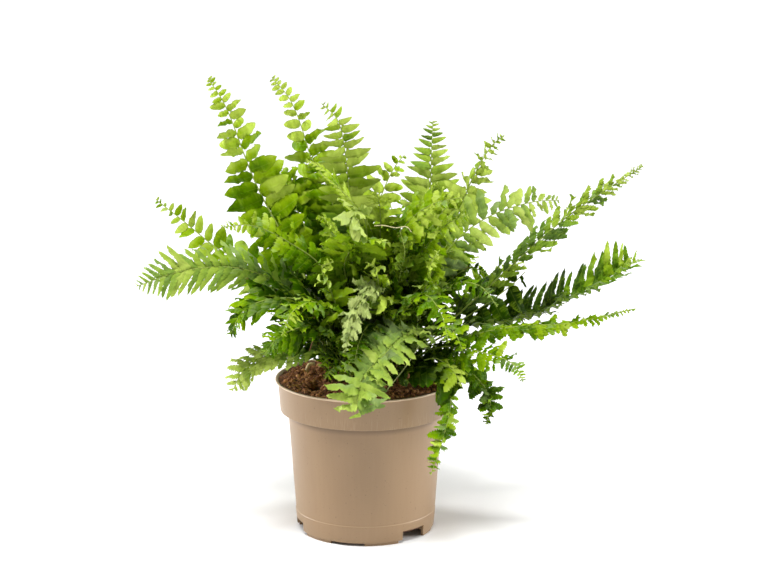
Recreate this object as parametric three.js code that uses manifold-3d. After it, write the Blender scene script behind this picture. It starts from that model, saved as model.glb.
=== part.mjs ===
// Potted sword fern: a round nursery pot filled with peat, and a tuft of fronds growing from it.
// Millimetres, +Z up. The origin is on the pot's axis, on the surface that the pot stands on.
// The fern's widest reach is along X, and its front is towards -Y.

import * as THREE from 'three';
import { mergeVertices } from 'three/addons/utils/BufferGeometryUtils.js';
import Module from 'manifold-3d';

const wasm = await Module();
wasm.setup();

// Pot, a 12 cm nursery pot
const POT_HEIGHT = 103;
const LIP_RADIUS = 60;
const LIP_DEPTH = 1.6;
const LIP_BEAD = 1.5;
const LIP_UNDERCUT = 0.3;
const LIP_ROUNDING = 0.4;
const BAND_TOP_RADIUS = 58.2;
const BAND_BOTTOM_RADIUS = 56.7;
const BAND_BOTTOM = 82;
const BODY_TOP_RADIUS = 51.6;
const SKIRT_RADIUS = 45.9;
const SKIRT_BOTTOM = 2;
const WALL = 1.4;
const FLOOR_UNDERSIDE = 5;
const PAD_RADIUS = 12;
const POT_SIDES = 40;
const NOTCH_COUNT = 3;
const NOTCH_FIRST = 44;
const NOTCH_WIDTH = 24;
const NOTCH_TOP = 8.3;
const NOTCH_DEPTH = 7;
const FOOT_COUNT = 6;
const FOOT_FIRST = 14;
const FOOT_WIDTH = 30;
const FOOT_INSET = 1.2;
const FOOT_WALL = 2;
const DRAIN_COUNT = 4;
const DRAIN_RADIUS = 4;
const DRAIN_CIRCLE = 27;
const HOLE_SIDES = 8;

// Peat
const CLEARANCE = 0.3;
const SOIL_EDGE = 99.4;
const SOIL_CROWN = 103.4;
const SOIL_RINGS = [50, 41, 32, 23, 14];
const SOIL_SIDES = 32;
const CRUMB = 0.9;
const FINGER_HOLE = { x: -33, y: -20, radius: 3 };

// Fronds
const ROOT_DEPTH = 9;
const COLLAR_HEIGHT = 7;
const STIPE_WIDTH = 1.8;
const STIPE_THICKNESS = 1.6;
const RIB_TIP_WIDTH = 0.8;
const RIB_TIP_THICKNESS = 0.9;
const LEAFLET_THICKNESS = 0.65;
const STIPE_STEPS = 4;
const BLADE_END = 0.985;
const BASE_LENGTH = 0.45;
const SWELL = 0.32;
const TAPER_POWER = 0.85;
const RUFFLE = 9;
const LEAFLET_DROOP = 0.22;
const ROOT_CLEARANCE = 2;
const SHOOT_CLEARANCE = 0.7;
const CUT_PAST = 5;
const SEEDS_PER_FROND = 50;

// Leaflet outlines, out along the leaflet and forward along the rib, in leaflet lengths and rib steps
const FALCATE = [[0.58, -0.32], [1.0, 0.22]];
const OBLONG = [[0.5, -0.4], [1.0, 0.0], [0.62, 0.34]];
const SWORD = [[0.62, -0.26], [1.0, 0.3]];

// What a frond has unless its own line says otherwise. Taper is the share of the blade that narrows
// to the tip, fold is how far the leaflets rise from flat, and twist turns the blade towards its tip.
const USUAL = { taper: 0.45, fold: 16, twist: 0, outline: FALCATE };

// Crown of the root stock, as knobs at x and y with their radius, in one round hole in the peat
const CROWN_KNOBS = [[0, 0, 6.5], [5, 3, 4.4], [-5, -2, 4.4]];
const CROWN_HOLE_RADIUS = 12;
const CROWN_STRETCH = 1.5;

// Thin runner that comes up out of the peat at the front, and the pale stub of a cut one at the left
const RUNNER = { radius: 0.6, path: [[11, -42, 102], [15, -46, 108], [21, -49, 117], [25, -50, 124]] };
const STUB = { radius: 1.5, path: [[-39, 16, 102], [-38.5, 16, 105], [-36, 17, 108]] };
const SHOOT_SIDES = 6;
const STIPE_HOLE_SIDES = 4;
const SHOOT_STEPS = 8;

const POT_COLOUR = 0xb59c81;
const SOIL_COLOUR = 0x3b271a;
const CROWN_COLOUR = 0x6b4d2c;
const RUNNER_COLOUR = 0x9aa84e;
const STUB_COLOUR = 0xc9b98a;
const LEAF_COLOURS = [0x6f9a2c, 0x7fae34, 0x5d8a26, 0x8dbb45];

// Fronds that can be told apart, each from its foot in the peat through its path to its tip.
// Roll turns the leaflets about the rib: 0 faces up and inward, minus turns a left one to the front.
// Width is the longest leaflet, pairs is how many there are, and bare is the share without any.
const FRONDS = [
  { name: 'tall_left', foot: [-15, 4], roll: -72, width: 17, taper: 0.4, pairs: 12, bare: 0.3,
    outline: OBLONG, path: [[-46, 14, 180], [-72, 16, 231], [-92, 20, 283], [-103, 24, 300]] },
  { name: 'tall_mid', foot: [-11, 11], roll: -55, width: 14, taper: 0.5, pairs: 11, bare: 0.34,
    outline: OBLONG, path: [[-27, 32, 200], [-38, 38, 251], [-50, 44, 283], [-62, 48, 297]] },
  { name: 'tall_right', foot: [-15, -3], roll: -74, width: 19, pairs: 12, bare: 0.36,
    outline: SWORD, path: [[-10, 8, 205], [-13, 6, 254], [-18, 2, 276], [-28, -2, 287]] },
  { name: 'mid_up_left', foot: [-11, -11], roll: -60, width: 13, pairs: 11, bare: 0.4,
    path: [[-6, -26, 200], [-15, -38, 236], [-26, -46, 251], [-37, -52, 258]] },
  { name: 'top_centre', foot: [11, 11], roll: 38, width: 17, taper: 0.28, pairs: 13, bare: 0.34,
    outline: SWORD, path: [[40, 46, 185], [44, 52, 218], [45, 56, 247], [46, 60, 266]] },
  { name: 'top_small', foot: [4, 15], roll: 26, width: 12, pairs: 9, bare: 0.45,
    path: [[4, 56, 190], [14, 64, 221], [22, 70, 235], [27, 74, 240]] },
  { name: 'top_right', foot: [15, 4], roll: 55, width: 13, pairs: 11, bare: 0.4,
    path: [[55, 12, 195], [71, 13, 235], [83, 9, 257], [91, 4, 265]] },
  { name: 'right_mid', foot: [15, -4], roll: 72, width: 16, taper: 0.4, pairs: 11, bare: 0.38,
    path: [[54, -16, 193], [79, -20, 215], [108, -24, 226], [125, -28, 228]] },
  { name: 'right_long', foot: [21, 2], roll: 35, twist: 20, width: 15, taper: 0.75, pairs: 14, bare: 0.3,
    path: [[64, 8, 146], [95, 8, 175], [134, 6, 211], [182, 2, 245]] },
  { name: 'right_comb', foot: [27, 3], roll: 30, fold: 48, width: 20, taper: 0.25, pairs: 14, bare: 0.24,
    outline: SWORD, path: [[62, 8, 134], [105, 8, 142], [151, 12, 162], [182, 14, 180]] },
  { name: 'right_low', foot: [26, -8], roll: 15, width: 10, pairs: 14, bare: 0.24,
    path: [[56, -22, 133], [97, -32, 145], [132, -38, 149], [174, -44, 160]] },
  { name: 'right_droop', foot: [21, -16], roll: 30, width: 13, pairs: 10, bare: 0.28,
    path: [[49, -34, 132], [79, -52, 132], [95, -60, 127], [101, -64, 117]] },
  { name: 'right_hang', foot: [28, -1], roll: 20, width: 11, pairs: 10, bare: 0.28,
    path: [[48, -14, 121], [68, -26, 114], [81, -34, 98], [79, -38, 81]] },
  { name: 'right_trail', foot: [15, -23], roll: 0, width: 15, taper: 0.9, pairs: 11, bare: 0.26,
    path: [[37, -42, 121], [54, -56, 107], [50, -63, 84], [40, -65, 55]] },
  { name: 'front_drop', foot: [12, -17], roll: 0, width: 15, pairs: 11, bare: 0.36,
    path: [[31, -38, 132], [26, -58, 140], [8, -74, 131], [-4, -86, 114], [0, -90, 101]] },
  { name: 'front_dark', foot: [5, -21], roll: 0, width: 12, pairs: 9, bare: 0.36,
    path: [[6, -44, 146], [2, -58, 153], [-4, -70, 144], [-7, -75, 132]] },
  { name: 'left_low', foot: [-24, -14], roll: -45, width: 15, pairs: 11, bare: 0.26,
    path: [[-36, -30, 126], [-51, -40, 130], [-71, -50, 124], [-85, -54, 106]] },
  { name: 'left_reach', foot: [-26, -6], roll: -72, width: 17, taper: 0.5, pairs: 14, bare: 0.3,
    path: [[-45, -12, 160], [-78, -20, 181], [-115, -26, 182], [-148, -30, 172]] },
  { name: 'left_small', foot: [-21, 3], roll: -60, width: 12, pairs: 11, bare: 0.38,
    outline: OBLONG, path: [[-62, 14, 168], [-98, 18, 187], [-121, 22, 205], [-139, 24, 219]] },
  { name: 'left_mid', foot: [-19, -9], roll: -50, width: 14, pairs: 11, bare: 0.42,
    path: [[-26, -18, 178], [-49, -26, 200], [-73, -34, 213], [-92, -40, 213]] },
  { name: 'left_down_a', foot: [-16, -15], roll: -25, width: 14, pairs: 10, bare: 0.38,
    path: [[-32, -34, 158], [-55, -46, 168], [-77, -54, 162], [-86, -58, 147]] },
  { name: 'left_down_b', foot: [-16, -22], roll: -15, width: 13, pairs: 10, bare: 0.36,
    path: [[-20, -44, 142], [-36, -58, 152], [-54, -67, 148], [-64, -71, 137]] },
  { name: 'front_pale', foot: [-3, -15], roll: -10, width: 12, pairs: 10, bare: 0.44,
    path: [[0, -46, 166], [-4, -66, 181], [-10, -80, 168], [-13, -86, 142]] },
  { name: 'centre_face', foot: [-7, -14], roll: -30, width: 12, pairs: 9, bare: 0.46,
    outline: OBLONG, path: [[-8, -34, 180], [-15, -52, 204], [-21, -62, 219], [-29, -68, 226]] },
  { name: 'centre_right', foot: [11, -11], roll: 40, width: 14, pairs: 10, bare: 0.42,
    path: [[28, -28, 180], [42, -44, 205], [54, -54, 219], [65, -60, 225]] },
  { name: 'front_left', foot: [-9, -26], roll: 0, width: 14, pairs: 10, bare: 0.36,
    path: [[-18, -51, 157], [-34, -71, 171], [-46, -83, 167], [-52, -89, 154]] },
  { name: 'front_right', foot: [9, -22], roll: 0, width: 14, pairs: 10, bare: 0.4,
    path: [[26, -52, 162], [38, -74, 176], [47, -88, 168], [52, -94, 150]] },
  { name: 'right_front', foot: [19, -10], roll: 15, width: 14, pairs: 10, bare: 0.38,
    path: [[44, -32, 164], [62, -46, 178], [75, -54, 176], [84, -59, 165]] },
  { name: 'right_dark', foot: [20, -3], roll: 20, width: 13, pairs: 9, bare: 0.42,
    path: [[42, -9, 156], [57, -11, 173], [70, -13, 180], [80, -14, 176]] },
  { name: 'centre_up', foot: [3, -15], roll: -10, width: 13, pairs: 9, bare: 0.46,
    path: [[8, -22, 180], [10, -34, 212], [9, -44, 230], [7, -52, 238]] },
  { name: 'centre_tall', foot: [15, 0], roll: 50, width: 13, pairs: 9, bare: 0.46,
    path: [[28, -3, 190], [35, -8, 214], [42, -14, 230], [47, -19, 238]] },
  { name: 'low_right', foot: [23, -12], roll: 10, width: 12, pairs: 7, bare: 0.4,
    path: [[38, -32, 140], [50, -44, 148], [58, -53, 145], [62, -58, 136]] },
  { name: 'low_centre', foot: [-2, -24], roll: -10, width: 11, pairs: 7, bare: 0.4,
    path: [[-3, -44, 126], [-6, -56, 131], [-10, -64, 130], [-13, -69, 125]] },
];

// Fronds at the back, in whorls: azimuth from +X towards +Y, radius of the feet, reach, rise of the
// arch above the peat, and how far it droops again
const WHORLS = [
  { azimuths: [27, 50, 75, 101, 128, 154], foot: 26, reach: 118, rise: 58, droop: 1, width: 15, pairs: 10 },
  { azimuths: [21, 72, 108, 146], foot: 20, reach: 96, rise: 82, droop: 0.85, width: 15, pairs: 10 },
  { azimuths: [94], foot: 19, reach: 50, rise: 84, droop: 0.7, width: 14, pairs: 9 },
];

const BACK_SHARES = [0.32, 0.6, 0.84, 1];
const BACK_CLIMB = 2.1;
const BACK_SPREAD = 0.16;
const BACK_ROLL = 24;
const BACK_BARE = 0.34;

const add = (a, b, factor = 1) => a.clone().addScaledVector(b, factor);
const radians = THREE.MathUtils.degToRad;
const mix = THREE.MathUtils.lerp;

// Even steps from one value towards another, which is left out
function evenly(from, to, steps) {
  return Array.from({ length: steps }, (_, i) => mix(from, to, i / steps));
}

// A number from 0 to 1 that depends only on the seed
function draw(seed) {
  const wave = Math.sin(seed * 127.1 + 11.7) * 43758.5453;
  return wave - Math.floor(wave);
}

function solidOf(geometry) {
  const bare = geometry.clone();
  bare.deleteAttribute('normal');
  bare.deleteAttribute('uv');
  const merged = mergeVertices(bare, 1e-4);
  return new wasm.Manifold(new wasm.Mesh({
    numProp: 3,
    vertProperties: new Float32Array(merged.attributes.position.array),
    triVerts: new Uint32Array(merged.index.array),
  }));
}

function geometryOf(solid) {
  const mesh = solid.getMesh();
  const geometry = new THREE.BufferGeometry();
  geometry.setAttribute('position', new THREE.BufferAttribute(new Float32Array(mesh.vertProperties), 3));
  geometry.setIndex(new THREE.BufferAttribute(new Uint32Array(mesh.triVerts), 1));
  geometry.computeVertexNormals();
  return geometry;
}

// A profile of radius and height turned about the vertical axis
function turned(profile, sides) {
  const points = profile.map(([radius, height]) => new THREE.Vector2(radius, height));
  return new THREE.LatheGeometry(points, sides).rotateX(Math.PI / 2);
}

// A ring segment between two radii, centred on an angle measured from the front towards +X
function ringSegment(inner, outer, angle, width, bottom, top) {
  const start = radians(angle - width / 2 - 90);
  const end = radians(angle + width / 2 - 90);
  const shape = new THREE.Shape();
  shape.absarc(0, 0, outer, start, end, false);
  shape.absarc(0, 0, inner, end, start, true);
  const settings = { depth: top - bottom, bevelEnabled: false, curveSegments: 3 };
  return solidOf(new THREE.ExtrudeGeometry(shape, settings).translate(0, 0, bottom));
}

function uprightRod(x, y, radius, bottom, top, sides) {
  const rod = new THREE.CylinderGeometry(radius, radius, top - bottom, sides).rotateX(Math.PI / 2);
  return solidOf(rod.translate(x, y, (top + bottom) / 2));
}

// Radius of the body's outer face at a height, on the straight taper from skirt to band
function bodyRadius(height) {
  return mix(SKIRT_RADIUS, BODY_TOP_RADIUS, (height - SKIRT_BOTTOM) / (BAND_BOTTOM - SKIRT_BOTTOM));
}

function potSolid() {
  const floor = FLOOR_UNDERSIDE + WALL;
  const lipBottom = POT_HEIGHT - LIP_DEPTH;
  const shell = solidOf(turned([
    [0, 0],
    [PAD_RADIUS, 0],
    [PAD_RADIUS, FLOOR_UNDERSIDE],
    [SKIRT_RADIUS - WALL, FLOOR_UNDERSIDE],
    [SKIRT_RADIUS - WALL, SKIRT_BOTTOM],
    [SKIRT_RADIUS, SKIRT_BOTTOM],
    [BODY_TOP_RADIUS, BAND_BOTTOM],
    [BAND_BOTTOM_RADIUS, BAND_BOTTOM],
    [BAND_TOP_RADIUS, lipBottom],
    [LIP_RADIUS, lipBottom + LIP_UNDERCUT],
    [LIP_RADIUS - LIP_ROUNDING, POT_HEIGHT],
    [LIP_RADIUS - LIP_BEAD, POT_HEIGHT],
    [BAND_TOP_RADIUS - WALL, lipBottom - LIP_DEPTH / 2],
    [BAND_BOTTOM_RADIUS - WALL, BAND_BOTTOM + WALL],
    [BODY_TOP_RADIUS - WALL, BAND_BOTTOM],
    [bodyRadius(floor) - WALL, floor],
    [0, floor],
  ], POT_SIDES));
  return potFeet().reduce((pot, foot) => pot.add(foot), potOpenings(shell));
}

function potOpenings(shell) {
  const cuts = [];
  for (let i = 0; i < NOTCH_COUNT; i += 1) {
    const angle = NOTCH_FIRST + (i * 360) / NOTCH_COUNT;
    cuts.push(ringSegment(SKIRT_RADIUS - NOTCH_DEPTH, LIP_RADIUS, angle, NOTCH_WIDTH, 0, NOTCH_TOP));
  }
  for (let i = 0; i < DRAIN_COUNT; i += 1) {
    const angle = radians((i * 360) / DRAIN_COUNT);
    const [x, y] = [DRAIN_CIRCLE * Math.cos(angle), DRAIN_CIRCLE * Math.sin(angle)];
    cuts.push(uprightRod(x, y, DRAIN_RADIUS, 0, FLOOR_UNDERSIDE * 2, HOLE_SIDES));
  }
  return cuts.reduce((pot, cut) => pot.subtract(cut), shell);
}

function potFeet() {
  const feet = [];
  const outer = SKIRT_RADIUS - FOOT_INSET;
  for (let i = 0; i < FOOT_COUNT; i += 1) {
    const angle = FOOT_FIRST + (i * 360) / FOOT_COUNT;
    feet.push(ringSegment(outer - FOOT_WALL, outer, angle, FOOT_WIDTH, 0, FLOOR_UNDERSIDE + WALL / 2));
  }
  return feet;
}

// Height of the peat before its crumbs, a low mound that is highest at the crown
function soilHeight(radius) {
  const edge = BAND_TOP_RADIUS - WALL;
  return mix(SOIL_CROWN, SOIL_EDGE, (radius / edge) ** 2);
}

function crumbled(geometry) {
  const position = geometry.attributes.position;
  for (let i = 0; i < position.count; i += 1) {
    const [x, y, z] = [position.getX(i), position.getY(i), position.getZ(i)];
    if (z > SOIL_EDGE && Math.hypot(x, y) < SOIL_RINGS[0] + CRUMB) {
      const seed = Math.round(x * 10) + 0.37 * Math.round(y * 10);
      position.setZ(i, z + CRUMB * (2 * draw(seed) - 1));
    }
  }
  return geometry;
}

function soilSolid(holes) {
  const floor = FLOOR_UNDERSIDE + WALL;
  const inset = WALL + CLEARANCE;
  const edge = BAND_TOP_RADIUS - inset - CLEARANCE;
  const mound = SOIL_RINGS.map((radius) => [radius, soilHeight(radius)]);
  const body = solidOf(crumbled(turned([
    [0, floor + CLEARANCE],
    [bodyRadius(floor) - inset, floor + CLEARANCE],
    [BODY_TOP_RADIUS - inset, BAND_BOTTOM + CLEARANCE],
    [BAND_BOTTOM_RADIUS - inset, BAND_BOTTOM + WALL + CLEARANCE],
    [edge, SOIL_EDGE],
    ...mound,
    [0, SOIL_CROWN],
  ], SOIL_SIDES)));
  return holes.reduce((soil, hole) => soil.subtract(hole), body);
}

// An upright hole in the peat, as deep as what is rooted there
function rootHole(x, y, radius, sides) {
  return uprightRod(x, y, radius, SOIL_CROWN - ROOT_DEPTH - CLEARANCE, SOIL_CROWN + CUT_PAST, sides);
}

function crownSolid() {
  const knobs = CROWN_KNOBS.map(([x, y, radius]) => {
    const knob = new THREE.IcosahedronGeometry(radius, 1).scale(1, 1, CROWN_STRETCH);
    return solidOf(knob.translate(x, y, SOIL_CROWN));
  });
  const joined = knobs.reduce((crown, knob) => crown.add(knob));
  const underside = uprightRod(0, 0, CROWN_HOLE_RADIUS * 2, 0, SOIL_CROWN - ROOT_DEPTH, HOLE_SIDES);
  return joined.subtract(underside);
}

function shootHole({ radius, path: [[x, y]] }) {
  return rootHole(x, y, radius + SHOOT_CLEARANCE, SHOOT_SIDES);
}

// A round shoot along a path, from its root straight below the path's first point
function shootSolid({ radius, path }) {
  const points = path.map((point) => new THREE.Vector3(...point));
  const root = points[0].clone().setZ(SOIL_CROWN - ROOT_DEPTH);
  const round = new THREE.Shape().absarc(0, 0, radius, 0, 2 * Math.PI, false);
  const outline = new THREE.Shape(round.getPoints(SHOOT_SIDES).slice(0, SHOOT_SIDES));
  const extrudePath = new THREE.CatmullRomCurve3([root, ...points]);
  return solidOf(new THREE.ExtrudeGeometry(outline, { steps: SHOOT_STEPS, extrudePath }));
}

// The frond's rib as a smooth curve from its root in the peat to its tip
function ribCurve(frond) {
  const [x, y] = frond.foot;
  const root = new THREE.Vector3(x, y, SOIL_CROWN - ROOT_DEPTH);
  const collar = new THREE.Vector3(x, y, SOIL_CROWN + COLLAR_HEIGHT);
  const path = frond.path.map((point) => new THREE.Vector3(...point));
  return new THREE.CatmullRomCurve3([root, collar, ...path], false, 'centripetal');
}

// Place and directions on the rib: along it, out to its left side, and up from its upper face
function ribFrame(frond, curve, u) {
  const centre = curve.getPointAt(u);
  const along = curve.getTangentAt(u);
  const tip = new THREE.Vector3(...frond.path.at(-1));
  const heading = new THREE.Vector3(tip.x - frond.foot[0], tip.y - frond.foot[1], 0);
  const level = new THREE.Vector3(0, 0, 1).cross(heading).normalize();
  const side = add(level, along, -level.dot(along)).normalize();
  side.applyAxisAngle(along, radians(frond.roll + frond.twist * u));
  const up = along.clone().cross(side);
  return { centre, along, side, up };
}

// Length of the leaflets at a share of the blade, from its first pair to its tip
function leafletLength(frond, share) {
  const swell = mix(BASE_LENGTH, 1, Math.min(1, share / SWELL));
  return frond.width * swell * Math.min(1, (1 - share) / frond.taper) ** TAPER_POWER;
}

// Two layers of points, one over the other, and the triangles that close them to a thin solid
class Blade {
  constructor() {
    this.points = [];
    this.triangles = [];
  }

  pair(point, up, thickness) {
    this.points.push(add(point, up, thickness / 2), add(point, up, -thickness / 2));
    return this.points.length / 2 - 1;
  }

  face(a, b, c) {
    this.triangles.push([2 * a, 2 * b, 2 * c], [2 * c + 1, 2 * b + 1, 2 * a + 1]);
  }

  wall(a, b) {
    this.triangles.push([2 * a + 1, 2 * b + 1, 2 * b], [2 * a + 1, 2 * b, 2 * a]);
  }

  solid() {
    const geometry = new THREE.BufferGeometry();
    const position = this.points.flatMap((point) => point.toArray());
    geometry.setAttribute('position', new THREE.Float32BufferAttribute(position, 3));
    geometry.setIndex(this.triangles.flat());
    return solidOf(geometry);
  }
}

// One leaflet between two points on a side of the rib; hand is 1 on the left side and -1 on the right
function addLeaflet(blade, frond, frame, near, far, hand, length, step, seed) {
  const fold = radians(frond.fold + RUFFLE * (2 * draw(seed) - 1));
  const points = frond.outline.map(([out, forward]) => {
    const reach = RIB_TIP_WIDTH + length * out * Math.cos(fold);
    const lift = length * out * (Math.sin(fold) - LEAFLET_DROOP * out);
    const place = add(frame.centre, frame.side, hand * reach);
    place.addScaledVector(frame.along, step * forward).addScaledVector(frame.up, lift);
    return blade.pair(place, frame.up, LEAFLET_THICKNESS);
  });
  const outline = [near, ...points, far];
  const ordered = hand > 0 ? [...outline].reverse() : outline;
  for (let i = 0; i + 1 < ordered.length; i += 1) {
    blade.wall(ordered[i], ordered[i + 1]);
  }
  const hub = hand > 0 ? ordered[0] : ordered.at(-1);
  const rim = ordered.filter((point) => point !== hub);
  for (let i = 0; i + 1 < rim.length; i += 1) {
    blade.face(hub, rim[i], rim[i + 1]);
  }
}

// The rib's cross-section at a share of its length, as its left and right pairs of points
function ribSection(blade, frond, curve, u) {
  const { centre, side, up } = ribFrame(frond, curve, u);
  const half = mix(STIPE_WIDTH, RIB_TIP_WIDTH, u) / 2;
  const thickness = mix(STIPE_THICKNESS, RIB_TIP_THICKNESS, u);
  return [half, -half].map((offset) => blade.pair(add(centre, side, offset), up, thickness));
}

function frondSolid(frond, index) {
  const curve = ribCurve(frond);
  const blade = new Blade();
  const bare = evenly(0, frond.bare, STIPE_STEPS);
  const leafy = evenly(frond.bare, BLADE_END, frond.pairs);
  const stations = [...bare, ...leafy, BLADE_END];
  const rib = stations.map((u) => ribSection(blade, frond, curve, u));
  blade.wall(rib[0][0], rib[0][1]);
  for (let i = 0; i + 1 < rib.length; i += 1) {
    const [left, right] = rib[i];
    const [nextLeft, nextRight] = rib[i + 1];
    blade.face(left, right, nextRight);
    blade.face(left, nextRight, nextLeft);
    if (i < STIPE_STEPS) {
      blade.wall(nextLeft, left);
      blade.wall(right, nextRight);
      continue;
    }
    const frame = ribFrame(frond, curve, (stations[i] + stations[i + 1]) / 2);
    const step = curve.getLength() * (stations[i + 1] - stations[i]);
    const length = leafletLength(frond, (i - STIPE_STEPS + 0.5) / frond.pairs);
    const seed = index * SEEDS_PER_FROND + i;
    addLeaflet(blade, frond, frame, left, nextLeft, 1, length, step, seed);
    addLeaflet(blade, frond, frame, right, nextRight, -1, length, step, seed + 0.5);
  }
  const end = ribFrame(frond, curve, 1);
  const tip = blade.pair(end.centre, end.up, LEAFLET_THICKNESS);
  const [left, right] = rib.at(-1);
  blade.face(left, right, tip);
  blade.wall(right, tip);
  blade.wall(tip, left);
  return blade.solid();
}

// The fronds of a whorl, each on an arch that rises and droops, with a small draw of its own
function whorlFronds({ azimuths, foot, reach, rise, droop, width, pairs }, whorl) {
  return azimuths.map((azimuth, index) => {
    const seed = 31 * whorl + index;
    const turn = radians(azimuth);
    const far = reach * (1 + BACK_SPREAD * (draw(seed) - 0.5));
    const high = rise * (1 + BACK_SPREAD * (draw(seed + 0.5) - 0.5));
    const path = BACK_SHARES.map((share) => [
      Math.cos(turn) * mix(foot, far, share),
      Math.sin(turn) * mix(foot, far, share),
      SOIL_CROWN + high * (BACK_CLIMB * share - droop * share * share),
    ]);
    return {
      name: `back_${whorl + 1}_${index + 1}`,
      foot: [foot * Math.cos(turn), foot * Math.sin(turn)],
      path,
      roll: BACK_ROLL * (draw(seed + 0.25) - 0.5),
      width,
      pairs,
      bare: BACK_BARE,
    };
  });
}

function material(name, colour, roughness) {
  return new THREE.MeshStandardMaterial({ name, color: colour, roughness, metalness: 0 });
}

function piece(name, solid, finish) {
  const mesh = new THREE.Mesh(geometryOf(solid), finish);
  mesh.name = name;
  return mesh;
}

const fronds = [...FRONDS, ...WHORLS.flatMap(whorlFronds)].map((frond) => ({ ...USUAL, ...frond }));
const stipeHole = STIPE_WIDTH / 2 + ROOT_CLEARANCE;
const holes = [
  rootHole(FINGER_HOLE.x, FINGER_HOLE.y, FINGER_HOLE.radius, HOLE_SIDES),
  rootHole(0, 0, CROWN_HOLE_RADIUS, HOLE_SIDES + 2),
  ...fronds.map(({ foot: [x, y] }) => rootHole(x, y, stipeHole, STIPE_HOLE_SIDES)),
  ...[RUNNER, STUB].map(shootHole),
];

const group = new THREE.Group();
group.add(piece('pot', potSolid(), material('pot', POT_COLOUR, 0.5)));
group.add(piece('soil', soilSolid(holes), material('soil', SOIL_COLOUR, 0.95)));
group.add(piece('crown', crownSolid(), material('crown', CROWN_COLOUR, 0.85)));
group.add(piece('runner', shootSolid(RUNNER), material('runner', RUNNER_COLOUR, 0.6)));
group.add(piece('root_stub', shootSolid(STUB), material('stub', STUB_COLOUR, 0.7)));
fronds.forEach((frond, index) => {
  const finish = material('leaf', LEAF_COLOURS[index % LEAF_COLOURS.length], 0.55);
  group.add(piece(`frond_${frond.name}`, frondSolid(frond, index), finish));
});

export default group;
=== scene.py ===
"""Looks of a potted sword fern: its fronds, its peat and its nursery pot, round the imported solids.

Sizes are millimetres times MM, so that everything is in metres. +Z is up, the origin is on the pot's
axis at the surface that it stands on, and the fern's front is towards -Y.
"""

from math import cos, floor, hypot, pi, radians, sin, sqrt

import bmesh
import bpy
import numpy as np
from mathutils import Matrix, Vector, noise


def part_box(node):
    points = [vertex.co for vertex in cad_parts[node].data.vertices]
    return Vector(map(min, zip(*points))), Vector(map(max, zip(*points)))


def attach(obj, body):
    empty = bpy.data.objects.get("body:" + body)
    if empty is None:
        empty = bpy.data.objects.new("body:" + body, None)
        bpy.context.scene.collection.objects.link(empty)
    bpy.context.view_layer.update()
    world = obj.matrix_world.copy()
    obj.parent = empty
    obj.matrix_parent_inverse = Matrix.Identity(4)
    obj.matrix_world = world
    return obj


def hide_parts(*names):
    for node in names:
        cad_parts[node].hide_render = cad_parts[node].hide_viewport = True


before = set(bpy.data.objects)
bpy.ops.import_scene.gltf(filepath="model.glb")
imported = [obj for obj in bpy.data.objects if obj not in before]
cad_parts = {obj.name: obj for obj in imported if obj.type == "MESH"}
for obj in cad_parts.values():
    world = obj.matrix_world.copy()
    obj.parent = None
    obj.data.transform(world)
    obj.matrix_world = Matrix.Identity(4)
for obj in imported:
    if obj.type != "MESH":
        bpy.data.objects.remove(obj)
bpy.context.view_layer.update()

MM = 0.001

# Degrees between faces above which an edge stays sharp
POT_CREASE = 35
PEAT_CREASE = 60
STRAND_CREASE = 50

# Pot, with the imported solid's lip and height
POT_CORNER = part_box("pot")[1]
LIP_RADIUS = POT_CORNER.x
POT_HEIGHT = POT_CORNER.z
LIP_DEPTH = 1.6 * MM
LIP_BEAD = 1.5 * MM
LIP_CHAMFER = 1 * MM
BAND_TOP_RADIUS = 58.2 * MM
BAND_BOTTOM_RADIUS = 56.7 * MM
BAND_BOTTOM = 82 * MM
BODY_TOP_RADIUS = 51.6 * MM
SKIRT_RADIUS = 45.9 * MM
SKIRT_BOTTOM = 2 * MM
MOULD_LINE = 13.6 * MM
MOULD_LINE_STEP = 0.25 * MM
WALL = 1.4 * MM
FLOOR_UNDERSIDE = 5 * MM
PAD_RADIUS = 12 * MM
CORNER_RADIUS = 0.6 * MM
POT_SIDES = 180
NOTCH_COUNT = 3
NOTCH_FIRST = 44
NOTCH_WIDTH = 24
NOTCH_BOTTOM = -1 * MM
NOTCH_TOP = 8.3 * MM
NOTCH_DEPTH = 7 * MM
FOOT_COUNT = 6
FOOT_FIRST = 14
FOOT_WIDTH = 30
FOOT_INSET = 1.2 * MM
FOOT_WALL = 2 * MM
DRAIN_COUNT = 4
DRAIN_RADIUS = 4 * MM
DRAIN_CIRCLE = 27 * MM
DRAIN_BOTTOM = 2 * MM
DRAIN_TOP = 9 * MM
DRAIN_SIDES = 24

# Peat. The lumps on its top have three sizes: how many there are to a millimetre, and their weight
CLEARANCE = 0.3 * MM
SOIL_EDGE = 102.5 * MM
SOIL_FLARE = 1.4 * MM
SOIL_CROWN = 103.4 * MM
SOIL_SIDES = 144
SOIL_RINGS = 36
SOIL_LUMP = 1.6 * MM
SOIL_LUMPS = [(0.11, 1), (0.37, 0.5), (0.9, 0.25)]
SOIL_MIDDLE = 0.3
FINGER_HOLE = (-33 * MM, -23 * MM)
FINGER_RADIUS = 3.2 * MM
FINGER_STRETCH = 2
FINGER_DEPTH = 12 * MM
FINGER_STEEPNESS = 6

# What lies on the peat: name, count for a square metre, smallest and largest in millimetres, and tilt
SCATTERED = [
    ("peat_crumbs", 125000, 0.7, 2.1, pi),
    ("peat_grit", 320000, 0.35, 1.0, pi),
    ("peat_fibres", 46000, 4, 10, 0.7),
]
SCATTER_MARGIN = 2 * MM
SCATTER_HOLE = 1.1
CRUMB_LEVEL = 2
GRIT_LEVEL = 1
CRUMB_LUMPS = 1.7
CRUMB_RELIEF = 0.55
CRUMB_FLATNESS = 0.7
FIBRE_SIDES = 4
FIBRE_STEPS = 6
FIBRE_RADIUS = 0.022
FIBRE_BEND = 0.16

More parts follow.
